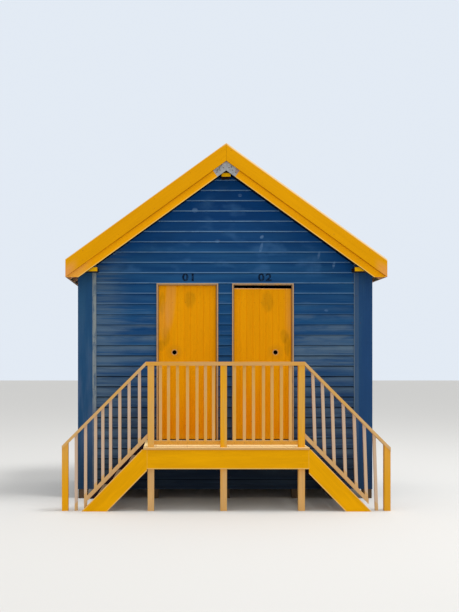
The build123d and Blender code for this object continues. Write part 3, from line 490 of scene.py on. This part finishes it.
def rail_paint(name, fresh, faded, axis="z", chalky=0.5, part=None):
    """Chalky yellow paint with the wear of one part of the rails, or the painted light and shade of the
    fascias.
    """
    paint = Paint(name, roughness=0.6)
    if part == "sloping":
        lay_down_flights(paint)
    clouds = paint.mottle(stretched(axis, 1.6, 13.0), 61.0, detail=3.0)
    grain = paint.mottle(stretched(axis, 4.0, 170.0), 62.0)
    chips = paint.mottle(stretched(axis, 9.0, 60.0), 63.0, detail=5.0, roughness=0.7)
    paint.start(fresh, faded, clouds.rise(0.25, 0.7))
    if part == "fascia":
        # Painted light on the fascias' inner faces from the ground under the eaves, and painted shade on
        # their undersides.
        inner = paint.x.math("ABSOLUTE").rise(EAVE_FACE - 0.0005, EAVE_FACE - 0.0015)
        paint.over(tone(255, 200, 124), inner * 0.95)
        paint.over(tone(112, 72, 48), paint.z.rise(EAVE_FOOT + 0.0012, EAVE_FOOT + 0.0004) * 0.85)
    if part == "post":
        paint.over(tone(210, 168, 108), paint.x.rise(-0.6, -0.8) * (0.2 + 0.5 * clouds))
        paint.over(tone(204, 164, 118), paint.z.rise(0.56, 0.44) * (0.3 + 0.5 * clouds))
    if part == "newel":
        paint.over(tone(216, 164, 96), paint.z.rise(0.3, 0.9) * (0.25 + 0.5 * clouds))
    if part == "landing":
        rail = paint.z.rise(BOTTOM_RAIL_TOP + 0.004, BOTTOM_RAIL_TOP)
        paint.over(tone(212, 148, 54), rail * 0.8)
    if part == "flight":
        left = paint.z - paint.x * FLIGHT_STEEP - LEFT_FLIGHT_LINE
        right = paint.z + paint.x * FLIGHT_STEEP - RIGHT_FLIGHT_LINE
        rail = (left * paint.x.rise(0.1, -0.1) + right * paint.x.rise(-0.1, 0.1)).rise(0.168, 0.160)
        paint.over(tone(206, 160, 92), rail * (0.5 + 0.4 * clouds))
    paint.over(tone(196, 176, 156), chips.rise(0.8 - 0.3 * chalky, 0.92 - 0.3 * chalky) * 0.7)
    paint.shade(0.86 + 0.28 * grain)
    return paint.coat(grain + chips * 0.5, 0.001)


post_paint = rail_paint("yellow_posts", tone(228, 160, 28), tone(216, 162, 74), part="post")
newel_paint = rail_paint("yellow_newels", tone(228, 158, 18), tone(218, 156, 44), part="newel")
handrail_paint = rail_paint("bleached_handrail", tone(214, 154, 64), tone(210, 160, 98), "x")
sloping_tones = tone(212, 162, 84), tone(208, 168, 116)
sloping_paint = rail_paint("bleached_stair_handrails", *sloping_tones, "x", part="sloping")
landing_tones = tone(216, 162, 72), tone(212, 164, 104)
baluster_paint = rail_paint("bleached_balusters", *landing_tones, chalky=0.6, part="landing")
flight_tones = tone(203, 173, 143), tone(198, 173, 153)
flight_baluster_paint = rail_paint("bleached_flight_balusters", *flight_tones, chalky=0.7, part="flight")
give(post_paint, "pale_rails", "porch_posts")
give(newel_paint, "pale_rails", "stair_newels")
give(handrail_paint, "pale_rails", "front_handrail")
give(sloping_paint, "pale_rails", "stair_handrails")
give(baluster_paint, "pale_rails", "front_railing_left", "front_railing_right")
give(flight_baluster_paint, "pale_rails", "left_stair_railing", "right_stair_railing")

# Beam and stringers: thick boards on edge that carry the deck and the treads, bolted and nailed to the
# posts and newels, in the fullest yellow of the hut, with pale worn edges.
BACK_OF_LANDING = -0.9
LEFT_STRINGER_TOP = 1.2468
RIGHT_STRINGER_TOP = 1.1894
STRINGER_DEEP = 0.216
BEAM_MIDDLE = -0.023
BEAM_HALF = 0.953


def carrying_board_paint(name, sloping):
    """Full yellow on what shows from the front, and near black painted shade on what stands back by the
    wall.
    """
    paint = Paint(name, roughness=0.55)
    height = lay_down_flights(paint) if sloping else paint.z
    clouds = paint.mottle((1.6, 13.0, 13.0), 61.0, detail=3.0)
    grain = paint.mottle((4.0, 170.0, 170.0), 62.0)
    chips = paint.mottle((9.0, 60.0, 60.0), 63.0, detail=5.0, roughness=0.7)
    paint.start(tone(234, 166, 0), tone(222, 156, 6), clouds.rise(0.25, 0.7))
    paint.over(tone(196, 176, 146), chips.rise(0.77, 0.89) * 0.7)
    pale = chips.rise(0.2, 0.5) * 0.7
    if sloping:
        right = paint.x.rise(-0.1, 0.1)
        down = RIGHT_STRINGER_TOP * right + LEFT_STRINGER_TOP * (1 - right) - height
        edges = down.rise(0.012, 0.005) + down.rise(STRINGER_DEEP - 0.013, STRINGER_DEEP - 0.006)
        paint.over(tone(232, 188, 122), edges * pale)
    else:
        paint.over(tone(226, 186, 120), height.rise(0.512, 0.503) * pale)
        # Painted shade along the beam's top, under the deck's edge.
        paint.over(tone(192, 134, 20), height.rise(0.705, 0.725) * 0.5)
        ends = (paint.x - BEAM_MIDDLE).math("ABSOLUTE").rise(BEAM_HALF - 0.012, BEAM_HALF - 0.004)
        paint.over(tone(232, 176, 96), ends * 0.25)
    # Painted shade of near black on what stands back against the wall.
    paint.over(tone(42, 32, 42), paint.y.rise(BACK_OF_LANDING - 0.1, BACK_OF_LANDING))
    paint.shade(0.88 + 0.24 * grain)
    return paint.coat(grain + chips * 0.5, 0.001)


beam_paint = carrying_board_paint("yellow_beam", False)
stringer_paint = carrying_board_paint("yellow_stringers", True)
give(beam_paint, "pale_rails", "front_beam")
give(stringer_paint, "pale_rails", "stair_stringers")

# Deck and treads: bare boards, scoured pale by feet and weather. The deck boards run along the front and
# are nailed to the joists with gaps between them; the treads are nailed in between the stringers.
DECK_EDGE = -1.5455
FLIGHT_FRONT = -1.4935


def bare_timber(name, light, dark, axis, worn=0.5, part=None):
    """Unpainted wood in two tones with its grain along the axis, and dark cracks as strong as the wear."""
    paint = Paint(name, roughness=0.8)
    clouds = paint.mottle(stretched(axis, 1.5, 12.0), 71.0, detail=3.0)
    grain = paint.mottle(stretched(axis, 2.6, 120.0), 72.0, detail=3.0, roughness=0.6)
    cracks = paint.mottle(stretched(axis, 3.0, 80.0), 73.0, detail=4.0)
    paint.start(light, dark, clouds * 0.5 + grain.rise(0.35, 0.75) * 0.5)
    paint.over(tone(58, 46, 36), cracks.rise(0.66, 0.76) * worn)
    if part == "deck":
        paint.over(tone(202, 158, 98), paint.y.rise(DECK_EDGE, DECK_EDGE - 0.0006))
        # Painted shade on the deck further back from its front edge.
        paint.over(tone(120, 92, 62), paint.y.rise(-1.20, -0.75) * 0.5)
    if part == "tread":
        # Painted shade on the treads behind their front ends.
        paint.over(tone(84, 68, 60), paint.y.rise(FLIGHT_FRONT + 0.03, FLIGHT_FRONT + 0.16) * 0.85)
    paint.shade(0.86 + 0.26 * grain)
    return paint.coat(grain - cracks.rise(0.6, 0.75), 0.0015)


deck_paint = bare_timber("scoured_deck", tone(255, 234, 172), tone(252, 216, 152), "x", 0.3, "deck")
joist_paint = bare_timber("weathered_joists", tone(64, 54, 48), tone(44, 38, 36), "y")
tread_paint = bare_timber("scoured_treads", tone(244, 214, 168), tone(226, 192, 146), "y", 0.3, "tread")
give(deck_paint, "deck_timber", "deck_boards")
give(joist_paint, "deck_timber", "deck_joists", "deck_ledger")
give(tread_paint, "deck_timber", "stair_treads")

# Roof: boards lapped down each slope, silvered by the weather, with two boards nailed over the ridge and
# plain yellow fascias nailed to the rafters' feet at the eaves.
ROOF_COURSE = 0.100
ROOF_HALF = 2.020


def roof_paint(name, course_lines):
    """Bare silver-grey boards, each of its own tone, with a warm tone on their undersides made pale as
    painted light.
    """
    paint = Paint(name, roughness=0.85)
    sideways = paint.x.math("ABSOLUTE")
    down = (ROOF_HALF - sideways) / math.cos(PITCH)
    number = (down / ROOF_COURSE).math("FLOOR")
    board = paint.chance(number, 0.13)
    clouds = paint.mottle((7.0, 1.0, 7.0), 81.0, detail=3.0)
    grain = paint.mottle((120.0, 3.0, 120.0), 82.0, detail=3.0)
    lichen = paint.mottle((26.0, 16.0, 26.0), 83.0, detail=5.0, roughness=0.7)
    paint.start(tone(150, 148, 142), tone(104, 100, 94), board * course_lines + clouds * 0.6)
    paint.over(tone(168, 150, 118), lichen.rise(0.6, 0.75) * 0.4)
    paint.over(tone(74, 66, 58), grain.rise(0.56, 0.74) * 0.5)
    below = (APEX - paint.z) - sideways * math.tan(PITCH)
    # The undersides get a warm tone, made pale as painted light from the ground below.
    paint.over(tone(246, 190, 140), below.rise(0.066, 0.074) * (0.85 + 0.15 * clouds))
    return paint.coat(grain + lichen * 0.4, 0.0015)


give(roof_paint("silvered_roof_boards", 0.5), "grey_roof", "left_roof_boards", "right_roof_boards")
give(roof_paint("silvered_ridge_boards", 0.0), "grey_roof", "ridge_cap")
fascia_paint = rail_paint("faded_fascias", tone(214, 150, 20), tone(206, 146, 40), "y", part="fascia")
give(fascia_paint, "grey_roof", "eave_fascias")

# Frame and floor: rough sawn studs, plates, rafters and joists, nailed up and left unpainted. The floor is
# of close boards nailed over the joists, and the piers under it have gone dark.
FLOOR_BOARD = 0.120
raw_upright_paint = bare_timber("sawn_studs", tone(178, 142, 100), tone(146, 112, 76), "z", 0.3)
raw_long_paint = bare_timber("sawn_long_timbers", tone(172, 138, 98), tone(142, 110, 76), "x", 0.3)
raw_cross_paint = bare_timber("sawn_joists", tone(166, 132, 94), tone(136, 106, 74), "y", 0.3)
# The rafters are lighter than the other sawn timber, a painted light from the ground under the eaves.
raw_rafter_paint = bare_timber("sawn_rafters", tone(226, 172, 128), tone(204, 148, 106), "x", 0.2)
pier_paint = bare_timber("dark_piers", tone(104, 86, 70), tone(70, 58, 48), "z", 0.6)
give(raw_upright_paint, "raw_timber", "wall_studs")
give(raw_long_paint, "raw_timber", "sill_plates", "door_lintels", "floor_bearers")
give(raw_cross_paint, "raw_timber", "floor_joists")
give(raw_rafter_paint, "raw_timber", "rafters")
give(pier_paint, "pier_timber", "piers")


def floor_paint():
    """Sawn boards of different tones that run from side to side, with dark joints between them."""
    paint = Paint("sawn_floor_boards", roughness=0.75)
    row = (paint.y + 1.0) / FLOOR_BOARD
    number = row.math("FLOOR")
    part = row - number
    board = paint.chance(number, 0.29)
    clouds = paint.mottle((1.4, 10.0, 10.0), 91.0, detail=3.0)
    grain = paint.mottle((2.4, 120.0, 120.0), 92.0, detail=3.0)
    joint = part.rise(0.03, 0.0) + part.rise(0.97, 1.0)
    paint.start(tone(176, 140, 98), tone(142, 108, 72), board * 0.5 + clouds * 0.5)
    paint.over(tone(40, 30, 22), joint * 0.85)
    paint.shade(0.86 + 0.26 * grain)
    return paint.coat(grain * 0.4 - joint, 0.003)


give(floor_paint(), "raw_timber", "floor_boards")

# Numerals: a plain painted number over each door, dark and faded nearly into the blue.
# They lie on the lapped board over the lintel and lean back with it.
NUMBER_HIGH = 0.092
NUMBER_FOOT = 2.793
NUMBER_COURSE = 20
FIGURE_SHARE = 0.7
STUD_FACE = -0.5175
BUTT = 0.024
TAPER = 0.013
BOARD_LEAN = math.atan(TAPER / COURSE)


def board_face(rise):
    """How far a weatherboard's face stands off the studs, at a height over the board's lower edge."""
    return BUTT - TAPER * rise / COURSE


def join_up(name, mesh, body):
    """Brings a mesh into the scene as a piece that moves with a body."""
    made = bpy.data.objects.new(name, mesh)
    bpy.context.scene.collection.objects.link(made)
    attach(made, body)


def painted_number(name, figures, x):
    """Two figures as thin as paint, widened a little, lying on the board's leaning face."""
    text = bpy.data.curves.new(name, "FONT")
    text.body = figures
    text.size = NUMBER_HIGH / FIGURE_SHARE
    text.align_x = "CENTER"
    text.extrude = 0.0005
    text.offset = 0.0045
    text.space_character = 1.2
    shaped = bpy.data.objects.new(name + "_shape", text)
    bpy.context.scene.collection.objects.link(shaped)
    mesh = bpy.data.meshes.new_from_object(shaped)
    bpy.data.objects.remove(shaped)
    mesh.name = name
    widen = Matrix.Diagonal((1.2, 1.0, 1.0, 1.0))
    rise = NUMBER_FOOT - WALL_FOOT - NUMBER_COURSE * COURSE
    place = Matrix.Translation((x, STUD_FACE - board_face(rise) - 0.0003, NUMBER_FOOT))
    mesh.transform(place @ Matrix.Rotation(math.pi / 2 - BOARD_LEAN, 4, "X") @ widen)
    mesh.materials.clear()
    paint = Paint(name + "_paint", roughness=0.6)
    chips = paint.mottle((60.0, 60.0, 60.0), 101.0, detail=4.0)
    paint.start(tone(16, 30, 50), tone(32, 58, 88), chips.rise(0.45, 0.65))
    mesh.materials.append(paint.coat())
    join_up(name, mesh, "hut")


painted_number("left_number", "01", -0.464)
painted_number("right_number", "02", 0.512)

# Nails in the walls: round wire nails with low domed heads, driven through each weatherboard where a stud
# stands behind it. Their heads have the boards' paint on them and a little rust.
HEAD_SIDES = 9
HEAD_SEED = 3
NAIL_SOCKETS = (
    ("Points", "Geometry", "INPUT"),
    ("Facing", "Rotation", "INPUT"),
    ("Head", "Float", "INPUT"),
    ("Metal", "Material", "INPUT"),
    ("Heads", "Geometry", "OUTPUT"),
)


def nail_tree():
    """Geometry Nodes that put a domed head on each point, of slightly different sizes."""
    tree = bpy.data.node_groups.new("nail_heads", "GeometryNodeTree")
    names = {}
    for name, kind, way in NAIL_SOCKETS:
        made = tree.interface.new_socket(name=name, in_out=way, socket_type="NodeSocket" + kind)
        names[name] = made.identifier

    def step(kind, settings=None, values=None):
        made = tree.nodes.new(kind)
        for name, value in (settings or {}).items():
            setattr(made, name, value)
        for name, value in (values or {}).items():
            if isinstance(value, bpy.types.NodeSocket):
                tree.links.new(value, made.inputs[name])
            else:
                made.inputs[name].default_value = value
        return made

    given = step("NodeGroupInput").outputs
    top, high = (
        step("ShaderNodeMath", {"operation": "MULTIPLY"}, {0: given["Head"], 1: share}).outputs[0]
        for share in (0.6, 0.3)
    )
    cone = {"Vertices": HEAD_SIDES, "Radius Top": top, "Radius Bottom": given["Head"], "Depth": high}
    head = step("GeometryNodeMeshCone", None, cone).outputs["Mesh"]
    spread = {"Min": 0.88, "Max": 1.12, "Seed": HEAD_SEED}
    size = step("FunctionNodeRandomValue", {"data_type": "FLOAT"}, spread).outputs[1]
    placing = {"Points": given["Points"], "Instance": head, "Rotation": given["Facing"], "Scale": size}
    placed = step("GeometryNodeInstanceOnPoints", None, placing).outputs["Instances"]
    real = step("GeometryNodeRealizeInstances", None, {"Geometry": placed}).outputs["Geometry"]
    metal = step("GeometryNodeSetMaterial", None, {"Geometry": real, "Material": given["Metal"]})
    out = step("NodeGroupOutput")
    tree.links.new(metal.outputs["Geometry"], out.inputs[0])
    return tree, names


NAIL_TREE, NAIL_INPUTS = nail_tree()


def nail_heads(points, facing, radius, metal):
    """A mesh of nail heads at points. Facing turns a head that looks up to the side it is seen from."""
    holder_mesh = bpy.data.meshes.new("nail_points")
    holder_mesh.from_pydata(points, [], [])
    holder = bpy.data.objects.new("nail_points", holder_mesh)
    bpy.context.scene.collection.objects.link(holder)
    driven = holder.modifiers.new("nails", "NODES")
    driven.node_group = NAIL_TREE
    driven[NAIL_INPUTS["Facing"]] = facing
    driven[NAIL_INPUTS["Head"]] = radius
    driven[NAIL_INPUTS["Metal"]] = metal
    shown = holder.evaluated_get(bpy.context.evaluated_depsgraph_get())
    mesh = bpy.data.meshes.new_from_object(shown)
    bpy.data.objects.remove(holder)
    bpy.data.meshes.remove(holder_mesh)
    return mesh


def nails(name, batches, radius, metal, body="hut"):
    """One piece from batches of points, each with its own facing."""
    whole = bmesh.new()
    for points, facing in batches:
        part = nail_heads(points, facing, radius, metal)
        whole.from_mesh(part)
        bpy.data.meshes.remove(part)
    mesh = bpy.data.meshes.new(name)
    bmesh.ops.recalc_face_normals(whole, faces=whole.faces)
    whole.to_mesh(mesh)
    whole.free()
    mesh.materials.append(metal)
    join_up(name, mesh, body)


def nail_paint(name, paint_colour, rust):
    """A nail's head in the colour of the paint over it, with more or less rust."""
    paint = Paint(name, roughness=0.6)
    spots = paint.mottle((55.0, 55.0, 55.0), 111.0, detail=3.0)
    worn = spots.rise(0.62 - rust * 0.3, 0.78 - rust * 0.3)
    paint.start(paint_colour, tone(94, 62, 46), worn)
    return paint.coat(spots, 0.0004)


STUD_BACK_FACE = 1.2605
STUD_SIDE_FACE = 1.864
SIDE_WALL_TOP = 2.84
COURSES_TO_APEX = 33
PURLIN_CUT_HALF, PURLIN_CUT_FOOT = 0.08, 4.0
PLATE_CUT_INSIDE, PLATE_CUT_FOOT, PLATE_CUT_TOP = 1.6, 2.87, 2.96
LANDING_HALF, BEAM_FOOT, LANDING_TOP = 0.95, 0.48, 0.76
TOP_NAIL_DROP = 0.10
FRONT_STUDS = (0.071, 0.899, 1.343, 1.632)
BACK_STUDS = (-1.632, -1.24, -0.62, 0.0, 0.62, 1.24, 1.632)
SIDE_STUDS = (-0.392, 0.0752, 0.6678, 1.135)
NAIL_OVER_EDGE = 0.024
BOARD_NAIL = 0.0045


def under_roof(x, z, drop):
    """True where a point of a gable wall lies lower than the drop under the roof's slopes."""
    return z < APEX - drop - abs(x) * math.tan(PITCH)


def cut_for_frame(x, z):
    """True where the boards are cut round the ridge purlin or a wall plate."""
    at_purlin = abs(x) < PURLIN_CUT_HALF and z > PURLIN_CUT_FOOT
    at_plate = abs(x) > PLATE_CUT_INSIDE and PLATE_CUT_FOOT < z < PLATE_CUT_TOP
    return at_purlin or at_plate


def behind_landing(x, z):
    """True where the beam, the joists and the deck hide the front wall."""
    return abs(x) < LANDING_HALF and BEAM_FOOT < z < LANDING_TOP


lower_edges = [WALL_FOOT + COURSE * count for count in range(COURSES_TO_APEX)]
stand_off = board_face(NAIL_OVER_EDGE)
front_points, back_points = [], []
for low in lower_edges:
    z = low + NAIL_OVER_EDGE
    for x in FRONT_STUDS:
        shows = under_roof(x, z, TOP_NAIL_DROP) and not behind_landing(x, z)
        if shows and not cut_for_frame(x, z):
            front_points += [(side * x, STUD_FACE - stand_off, z) for side in (-1, 1)]
    for x in BACK_STUDS:
        if under_roof(x, z, TOP_NAIL_DROP) and not cut_for_frame(x, z):
            back_points.append((x, STUD_BACK_FACE + stand_off, z))
side_batches = []
for side in (-1, 1):
    x = side * (STUD_SIDE_FACE + stand_off)
    heights = [low + NAIL_OVER_EDGE for low in lower_edges if low < SIDE_WALL_TOP]
    spots = [(x, y, z) for z in heights for y in SIDE_STUDS]
    side_batches.append((spots, (0.0, side * (math.pi / 2 - BOARD_LEAN), 0.0)))
blue_nail_metal = nail_paint("blue_nail_heads", tone(46, 74, 104), 0.35)
front_batch = front_points, (math.pi / 2 - BOARD_LEAN, 0.0, 0.0)
back_batch = back_points, (BOARD_LEAN - math.pi / 2, 0.0, 0.0)
nails("front_board_nails", [front_batch], BOARD_NAIL, blue_nail_metal)
nails("back_board_nails", [back_batch], BOARD_NAIL, blue_nail_metal)
nails("side_board_nails", side_batches, BOARD_NAIL, blue_nail_metal)

# Nails in the corner boards and battens: single ones up their whole height at even distances, two rows in
# each board and one in each batten. They are left out where a wall plate comes through.
TO_FRONT = (math.pi / 2, 0.0, 0.0)
TO_BACK = (-math.pi / 2, 0.0, 0.0)
CORNER_FRONT_FACE = -0.5435
CORNER_BACK_FACE = 1.2865
CORNER_NAIL = 0.005
CORNER_ROWS = ((1.734, 0.41), (1.862, 0.41), (1.684, 0.30))
LOWEST_CORNER_NAIL = 0.20
CORNER_NAIL_DROP = 0.36
corner_front, corner_back = [], []
for side in (-1, 1):
    for x, spacing in CORNER_ROWS:
        z = LOWEST_CORNER_NAIL
        while under_roof(x, z, CORNER_NAIL_DROP):
            if not PLATE_CUT_FOOT - 0.01 < z < PLATE_CUT_TOP + 0.02:
                corner_front.append((side * x, CORNER_FRONT_FACE, z))
                corner_back.append((side * x, CORNER_BACK_FACE, z))
            z += spacing
corner_batches = [(corner_front, TO_FRONT), (corner_back, TO_BACK)]
nails("corner_board_nails", corner_batches, CORNER_NAIL, blue_nail_metal)

# Nails in the doors: two through each board of the leaf into each of its three ledges, the lower one nearer
# the board's one side and the upper one nearer the other. The leaf's paint goes over them.
LEAF_HIGH = 1.981
LEDGE_SHARES = (0.0757, 0.4745, 0.8733)
DOOR_NAIL = 0.0035
door_nail_metal = nail_paint("orange_nail_heads", tone(196, 124, 8), 0.4)
for side, word in ((-1, "left"), (1, "right")):
    spots = []
    for share in LEDGE_SHARES:
        foot = LEAF_FOOT + share * LEAF_HIGH
        for count in range(LEAF_BOARDS):
            x = side * (LEAF_MIDDLE - LEAF_HALF + (count + 0.5) * 2 * LEAF_HALF / LEAF_BOARDS)
            spots += [(x - 0.022, LEAF_FACE, foot + 0.025), (x + 0.022, LEAF_FACE, foot + 0.075)]
    nails(word + "_door_nails", [(spots, TO_FRONT)], DOOR_NAIL, door_nail_metal, word + "_door")

# Nails in the landing: two in each deck board at each joist, one at the foot of each baluster and two in
# the handrail over each post, all bare and rusty. Two bolts with the beam's paint on their heads go through
# the beam into each post.
UPWARDS = (0.0, 0.0, 0.0)
DECK_TOP = 0.747
DECK_FRONT = -1.5465
DECK_BOARDS = 8
DECK_BOARD_STEP = 0.12538
JOISTS = (-0.872, -0.50, -0.014, 0.388, 0.790)
FIRST_DECK_NAIL = -1.49
rusty_metal = nail_paint("rusty_nail_heads", tone(120, 100, 84), 0.8)
deck_points = []
for count in range(DECK_BOARDS):
    near = DECK_FRONT + count * DECK_BOARD_STEP
    for x in JOISTS:
        for aside in (0.030, 0.092):
            if near + aside > FIRST_DECK_NAIL:
                deck_points.append((x, near + aside, DECK_TOP))
nails("deck_nails", [(deck_points, UPWARDS)], BOARD_NAIL, rusty_metal)

POST_X = (-0.929, -0.071, 0.847)
POST_HALF = 0.038
BALUSTER_FACE = -1.473
BALUSTER_NAIL, BALUSTER_NAIL_Z = 0.003, 0.800
BALUSTER_SHARES = (
    (0.096, 0.217, 0.353, 0.504, 0.647, 0.775, 0.896),
    (0.107, 0.247, 0.374, 0.514, 0.633, 0.766, 0.892),
)
baluster_points = []
for bay, shares in enumerate(BALUSTER_SHARES):
    left, right = POST_X[bay] + POST_HALF, POST_X[bay + 1] - POST_HALF
    baluster_points += [(left + share * (right - left), BALUSTER_FACE, BALUSTER_NAIL_Z) for share in shares]
nails("baluster_nails", [(baluster_points, TO_FRONT)], BALUSTER_NAIL, rusty_metal)

BEAM_FACE = -1.5315
BOLT_HEAD = 0.007
BOLT_SPOTS = ((-0.015, 0.66), (0.015, 0.56))
bolt_points = [(x + aside, BEAM_FACE, z) for x in POST_X for aside, z in BOLT_SPOTS]
bolt_metal = nail_paint("yellow_bolt_heads", tone(222, 156, 4), 0.0)
nails("beam_bolts", [(bolt_points, TO_FRONT)], BOLT_HEAD, bolt_metal)

HANDRAIL_MIDDLE, HANDRAIL_TOP = -1.4555, 1.757
handrail_points = [(x + aside, HANDRAIL_MIDDLE, HANDRAIL_TOP) for x in POST_X for aside in (-0.02, 0.02)]
nails("handrail_nails", [(handrail_points, UPWARDS)], BOARD_NAIL, rusty_metal)

# Nails in the strap at the apex, three in each arm and rusty, and nails in the barge boards under their
# yellow paint, in pairs one over the other, at both ends and at even distances between them.
STRAP_FACE = -0.7835
STRAP_MIDDLE_DROP = 0.281
STRAP_NAIL = 0.006
STRAP_NAILS = (0.035, 0.078, 0.118)
BARGE_FACE = -0.8035
BARGE_BACK_FACE = 1.5465
BARGE_NAILS = (0.06, 0.45, 0.90, 1.35, 1.80, 1.97)
strap_points, barge_points, barge_back_points = [], [], []
for side in (-1, 1):
    for x in STRAP_NAILS:
        strap_points.append((side * x, STRAP_FACE, APEX - STRAP_MIDDLE_DROP - x * math.tan(PITCH)))
    for x in BARGE_NAILS:
        for drop in (0.05, 0.17):
            z = APEX - drop - x * math.tan(PITCH)
            barge_points.append((side * x, BARGE_FACE, z))
            barge_back_points.append((side * x, BARGE_BACK_FACE, z))
nails("strap_nails", [(strap_points, TO_FRONT)], STRAP_NAIL, rusty_metal)
yellow_nail_metal = nail_paint("yellow_nail_heads", tone(206, 140, 6), 0.45)
barge_batches = [(barge_points, TO_FRONT), (barge_back_points, TO_BACK)]
nails("barge_nails", barge_batches, BOARD_NAIL, yellow_nail_metal)

# Nails in the roof boards: one over each rafter in each course, a little above the board's lower edge. They
# are bare and rusty, and the ridge boards cover those nearest the ridge.
ROOF_EAVE = APEX - ROOF_HALF * math.tan(PITCH)
ROOF_LAP = 0.018
ROOF_TILT = math.atan(ROOF_LAP / ROOF_COURSE)
ROOF_COURSES = 24
ROOF_NAIL = 0.005
ROOF_NAIL_RISE = 0.022
ROOF_NAIL_SINK = 0.022 + ROOF_LAP * 0.22
RAFTERS = (-0.7625, -0.4985, -0.0635, 0.3715, 0.8065, 1.2415, 1.5055)
RIDGE_BOARD_REACH = 0.16
roof_batches = []
for side in (-1, 1):
    spots = []
    for count in range(ROOF_COURSES):
        along = count * ROOF_COURSE + ROOF_NAIL_RISE
        x = ROOF_HALF - along * math.cos(PITCH) - ROOF_NAIL_SINK * math.sin(PITCH)
        z = ROOF_EAVE + along * math.sin(PITCH) - ROOF_NAIL_SINK * math.cos(PITCH)
        if x > RIDGE_BOARD_REACH:
            spots += [(side * x, y, z) for y in RAFTERS]
    roof_batches.append((spots, (0.0, side * (PITCH - ROOF_TILT), 0.0)))
nails("roof_nails", roof_batches, ROOF_NAIL, rusty_metal)

# Light and ground: a plain pale floor and a soft even light from all round, seen as a pale blue sky. A lamp
# high in front gives the weak shadows under the eaves.
FLOOR_HALF = 60.0
floor_mesh = bpy.data.meshes.new("pale_floor")
floor_shape = bmesh.new()
bmesh.ops.create_grid(floor_shape, x_segments=1, y_segments=1, size=FLOOR_HALF)
floor_shape.to_mesh(floor_mesh)
floor_shape.free()
plain_floor = bpy.data.materials.new("pale_floor")
plain_floor.use_nodes = True
floor_surface = plain_floor.node_tree.nodes["Principled BSDF"]
floor_surface.inputs["Base Color"].default_value = tone(208, 207, 204)
floor_surface.inputs["Roughness"].default_value = 0.95
floor_mesh.materials.append(plain_floor)
pale_floor = bpy.data.objects.new("pale_floor", floor_mesh)
bpy.context.scene.collection.objects.link(pale_floor)

world = bpy.data.worlds.new("soft_daylight")
bpy.context.scene.world = world
world.use_nodes = True
sky = world.node_tree
light_sky = sky.nodes["Background"]
light_sky.inputs["Color"].default_value = (1.0, 1.0, 1.0, 1.0)
light_sky.inputs["Strength"].default_value = 0.95
seen_sky = sky.nodes.new("ShaderNodeBackground")
seen_sky.inputs["Color"].default_value = tone(226, 234, 244)
path = sky.nodes.new("ShaderNodeLightPath").outputs
seen = path["Is Camera Ray"]
for ray in ("Is Glossy Ray", "Is Transmission Ray"):
    either = sky.nodes.new("ShaderNodeMath")
    either.operation = "ADD"
    either.use_clamp = True
    sky.links.new(seen, either.inputs[0])
    sky.links.new(path[ray], either.inputs[1])
    seen = either.outputs[0]
mixed = sky.nodes.new("ShaderNodeMixShader")
for socket, source in enumerate((seen, light_sky.outputs[0], seen_sky.outputs[0])):
    sky.links.new(source, mixed.inputs[socket])
sky.links.new(mixed.outputs[0], sky.nodes["World Output"].inputs["Surface"])

LAMP_PLACE = Vector((3.0, -1.8, 13.0))
LAMP_AIM = Vector((0.0, -0.8, 1.0))
lamp = bpy.data.lights.new("top_lamp", "AREA")
lamp.shape = "DISK"
lamp.size = 4.0
lamp.energy = 1000.0
lamp_holder = bpy.data.objects.new("top_lamp", lamp)
lamp_holder.location = LAMP_PLACE
lamp_holder.rotation_euler = (LAMP_AIM - LAMP_PLACE).to_track_quat("-Z", "Y").to_euler()
bpy.context.scene.collection.objects.link(lamp_holder)

# Camera: stands where the photo was taken from, level at eye height and a little left of the middle. Its
# lens is shifted to the side and upwards, so that upright edges stay upright as they are in the photo.
EYE = (-0.6563, -12.0165, 1.7992)
FOCAL_PIXELS = 893.9
PHOTO_WIDE, PHOTO_HIGH = 459, 612
AIM_X, AIM_Y = 174.02, 358.15
camera = bpy.data.cameras.new("photo_camera")
camera.lens = FOCAL_PIXELS / PHOTO_HIGH * camera.sensor_width
camera.shift_x = (PHOTO_WIDE / 2 - AIM_X) / PHOTO_HIGH
camera.shift_y = (AIM_Y - PHOTO_HIGH / 2) / PHOTO_HIGH
camera_holder = bpy.data.objects.new("photo_camera", camera)
camera_holder.location = EYE
camera_holder.rotation_euler = (math.pi / 2, 0.0, 0.0)
bpy.context.scene.collection.objects.link(camera_holder)
bpy.context.scene.camera = camera_holder
bpy.context.scene.view_settings.view_transform = "Standard"
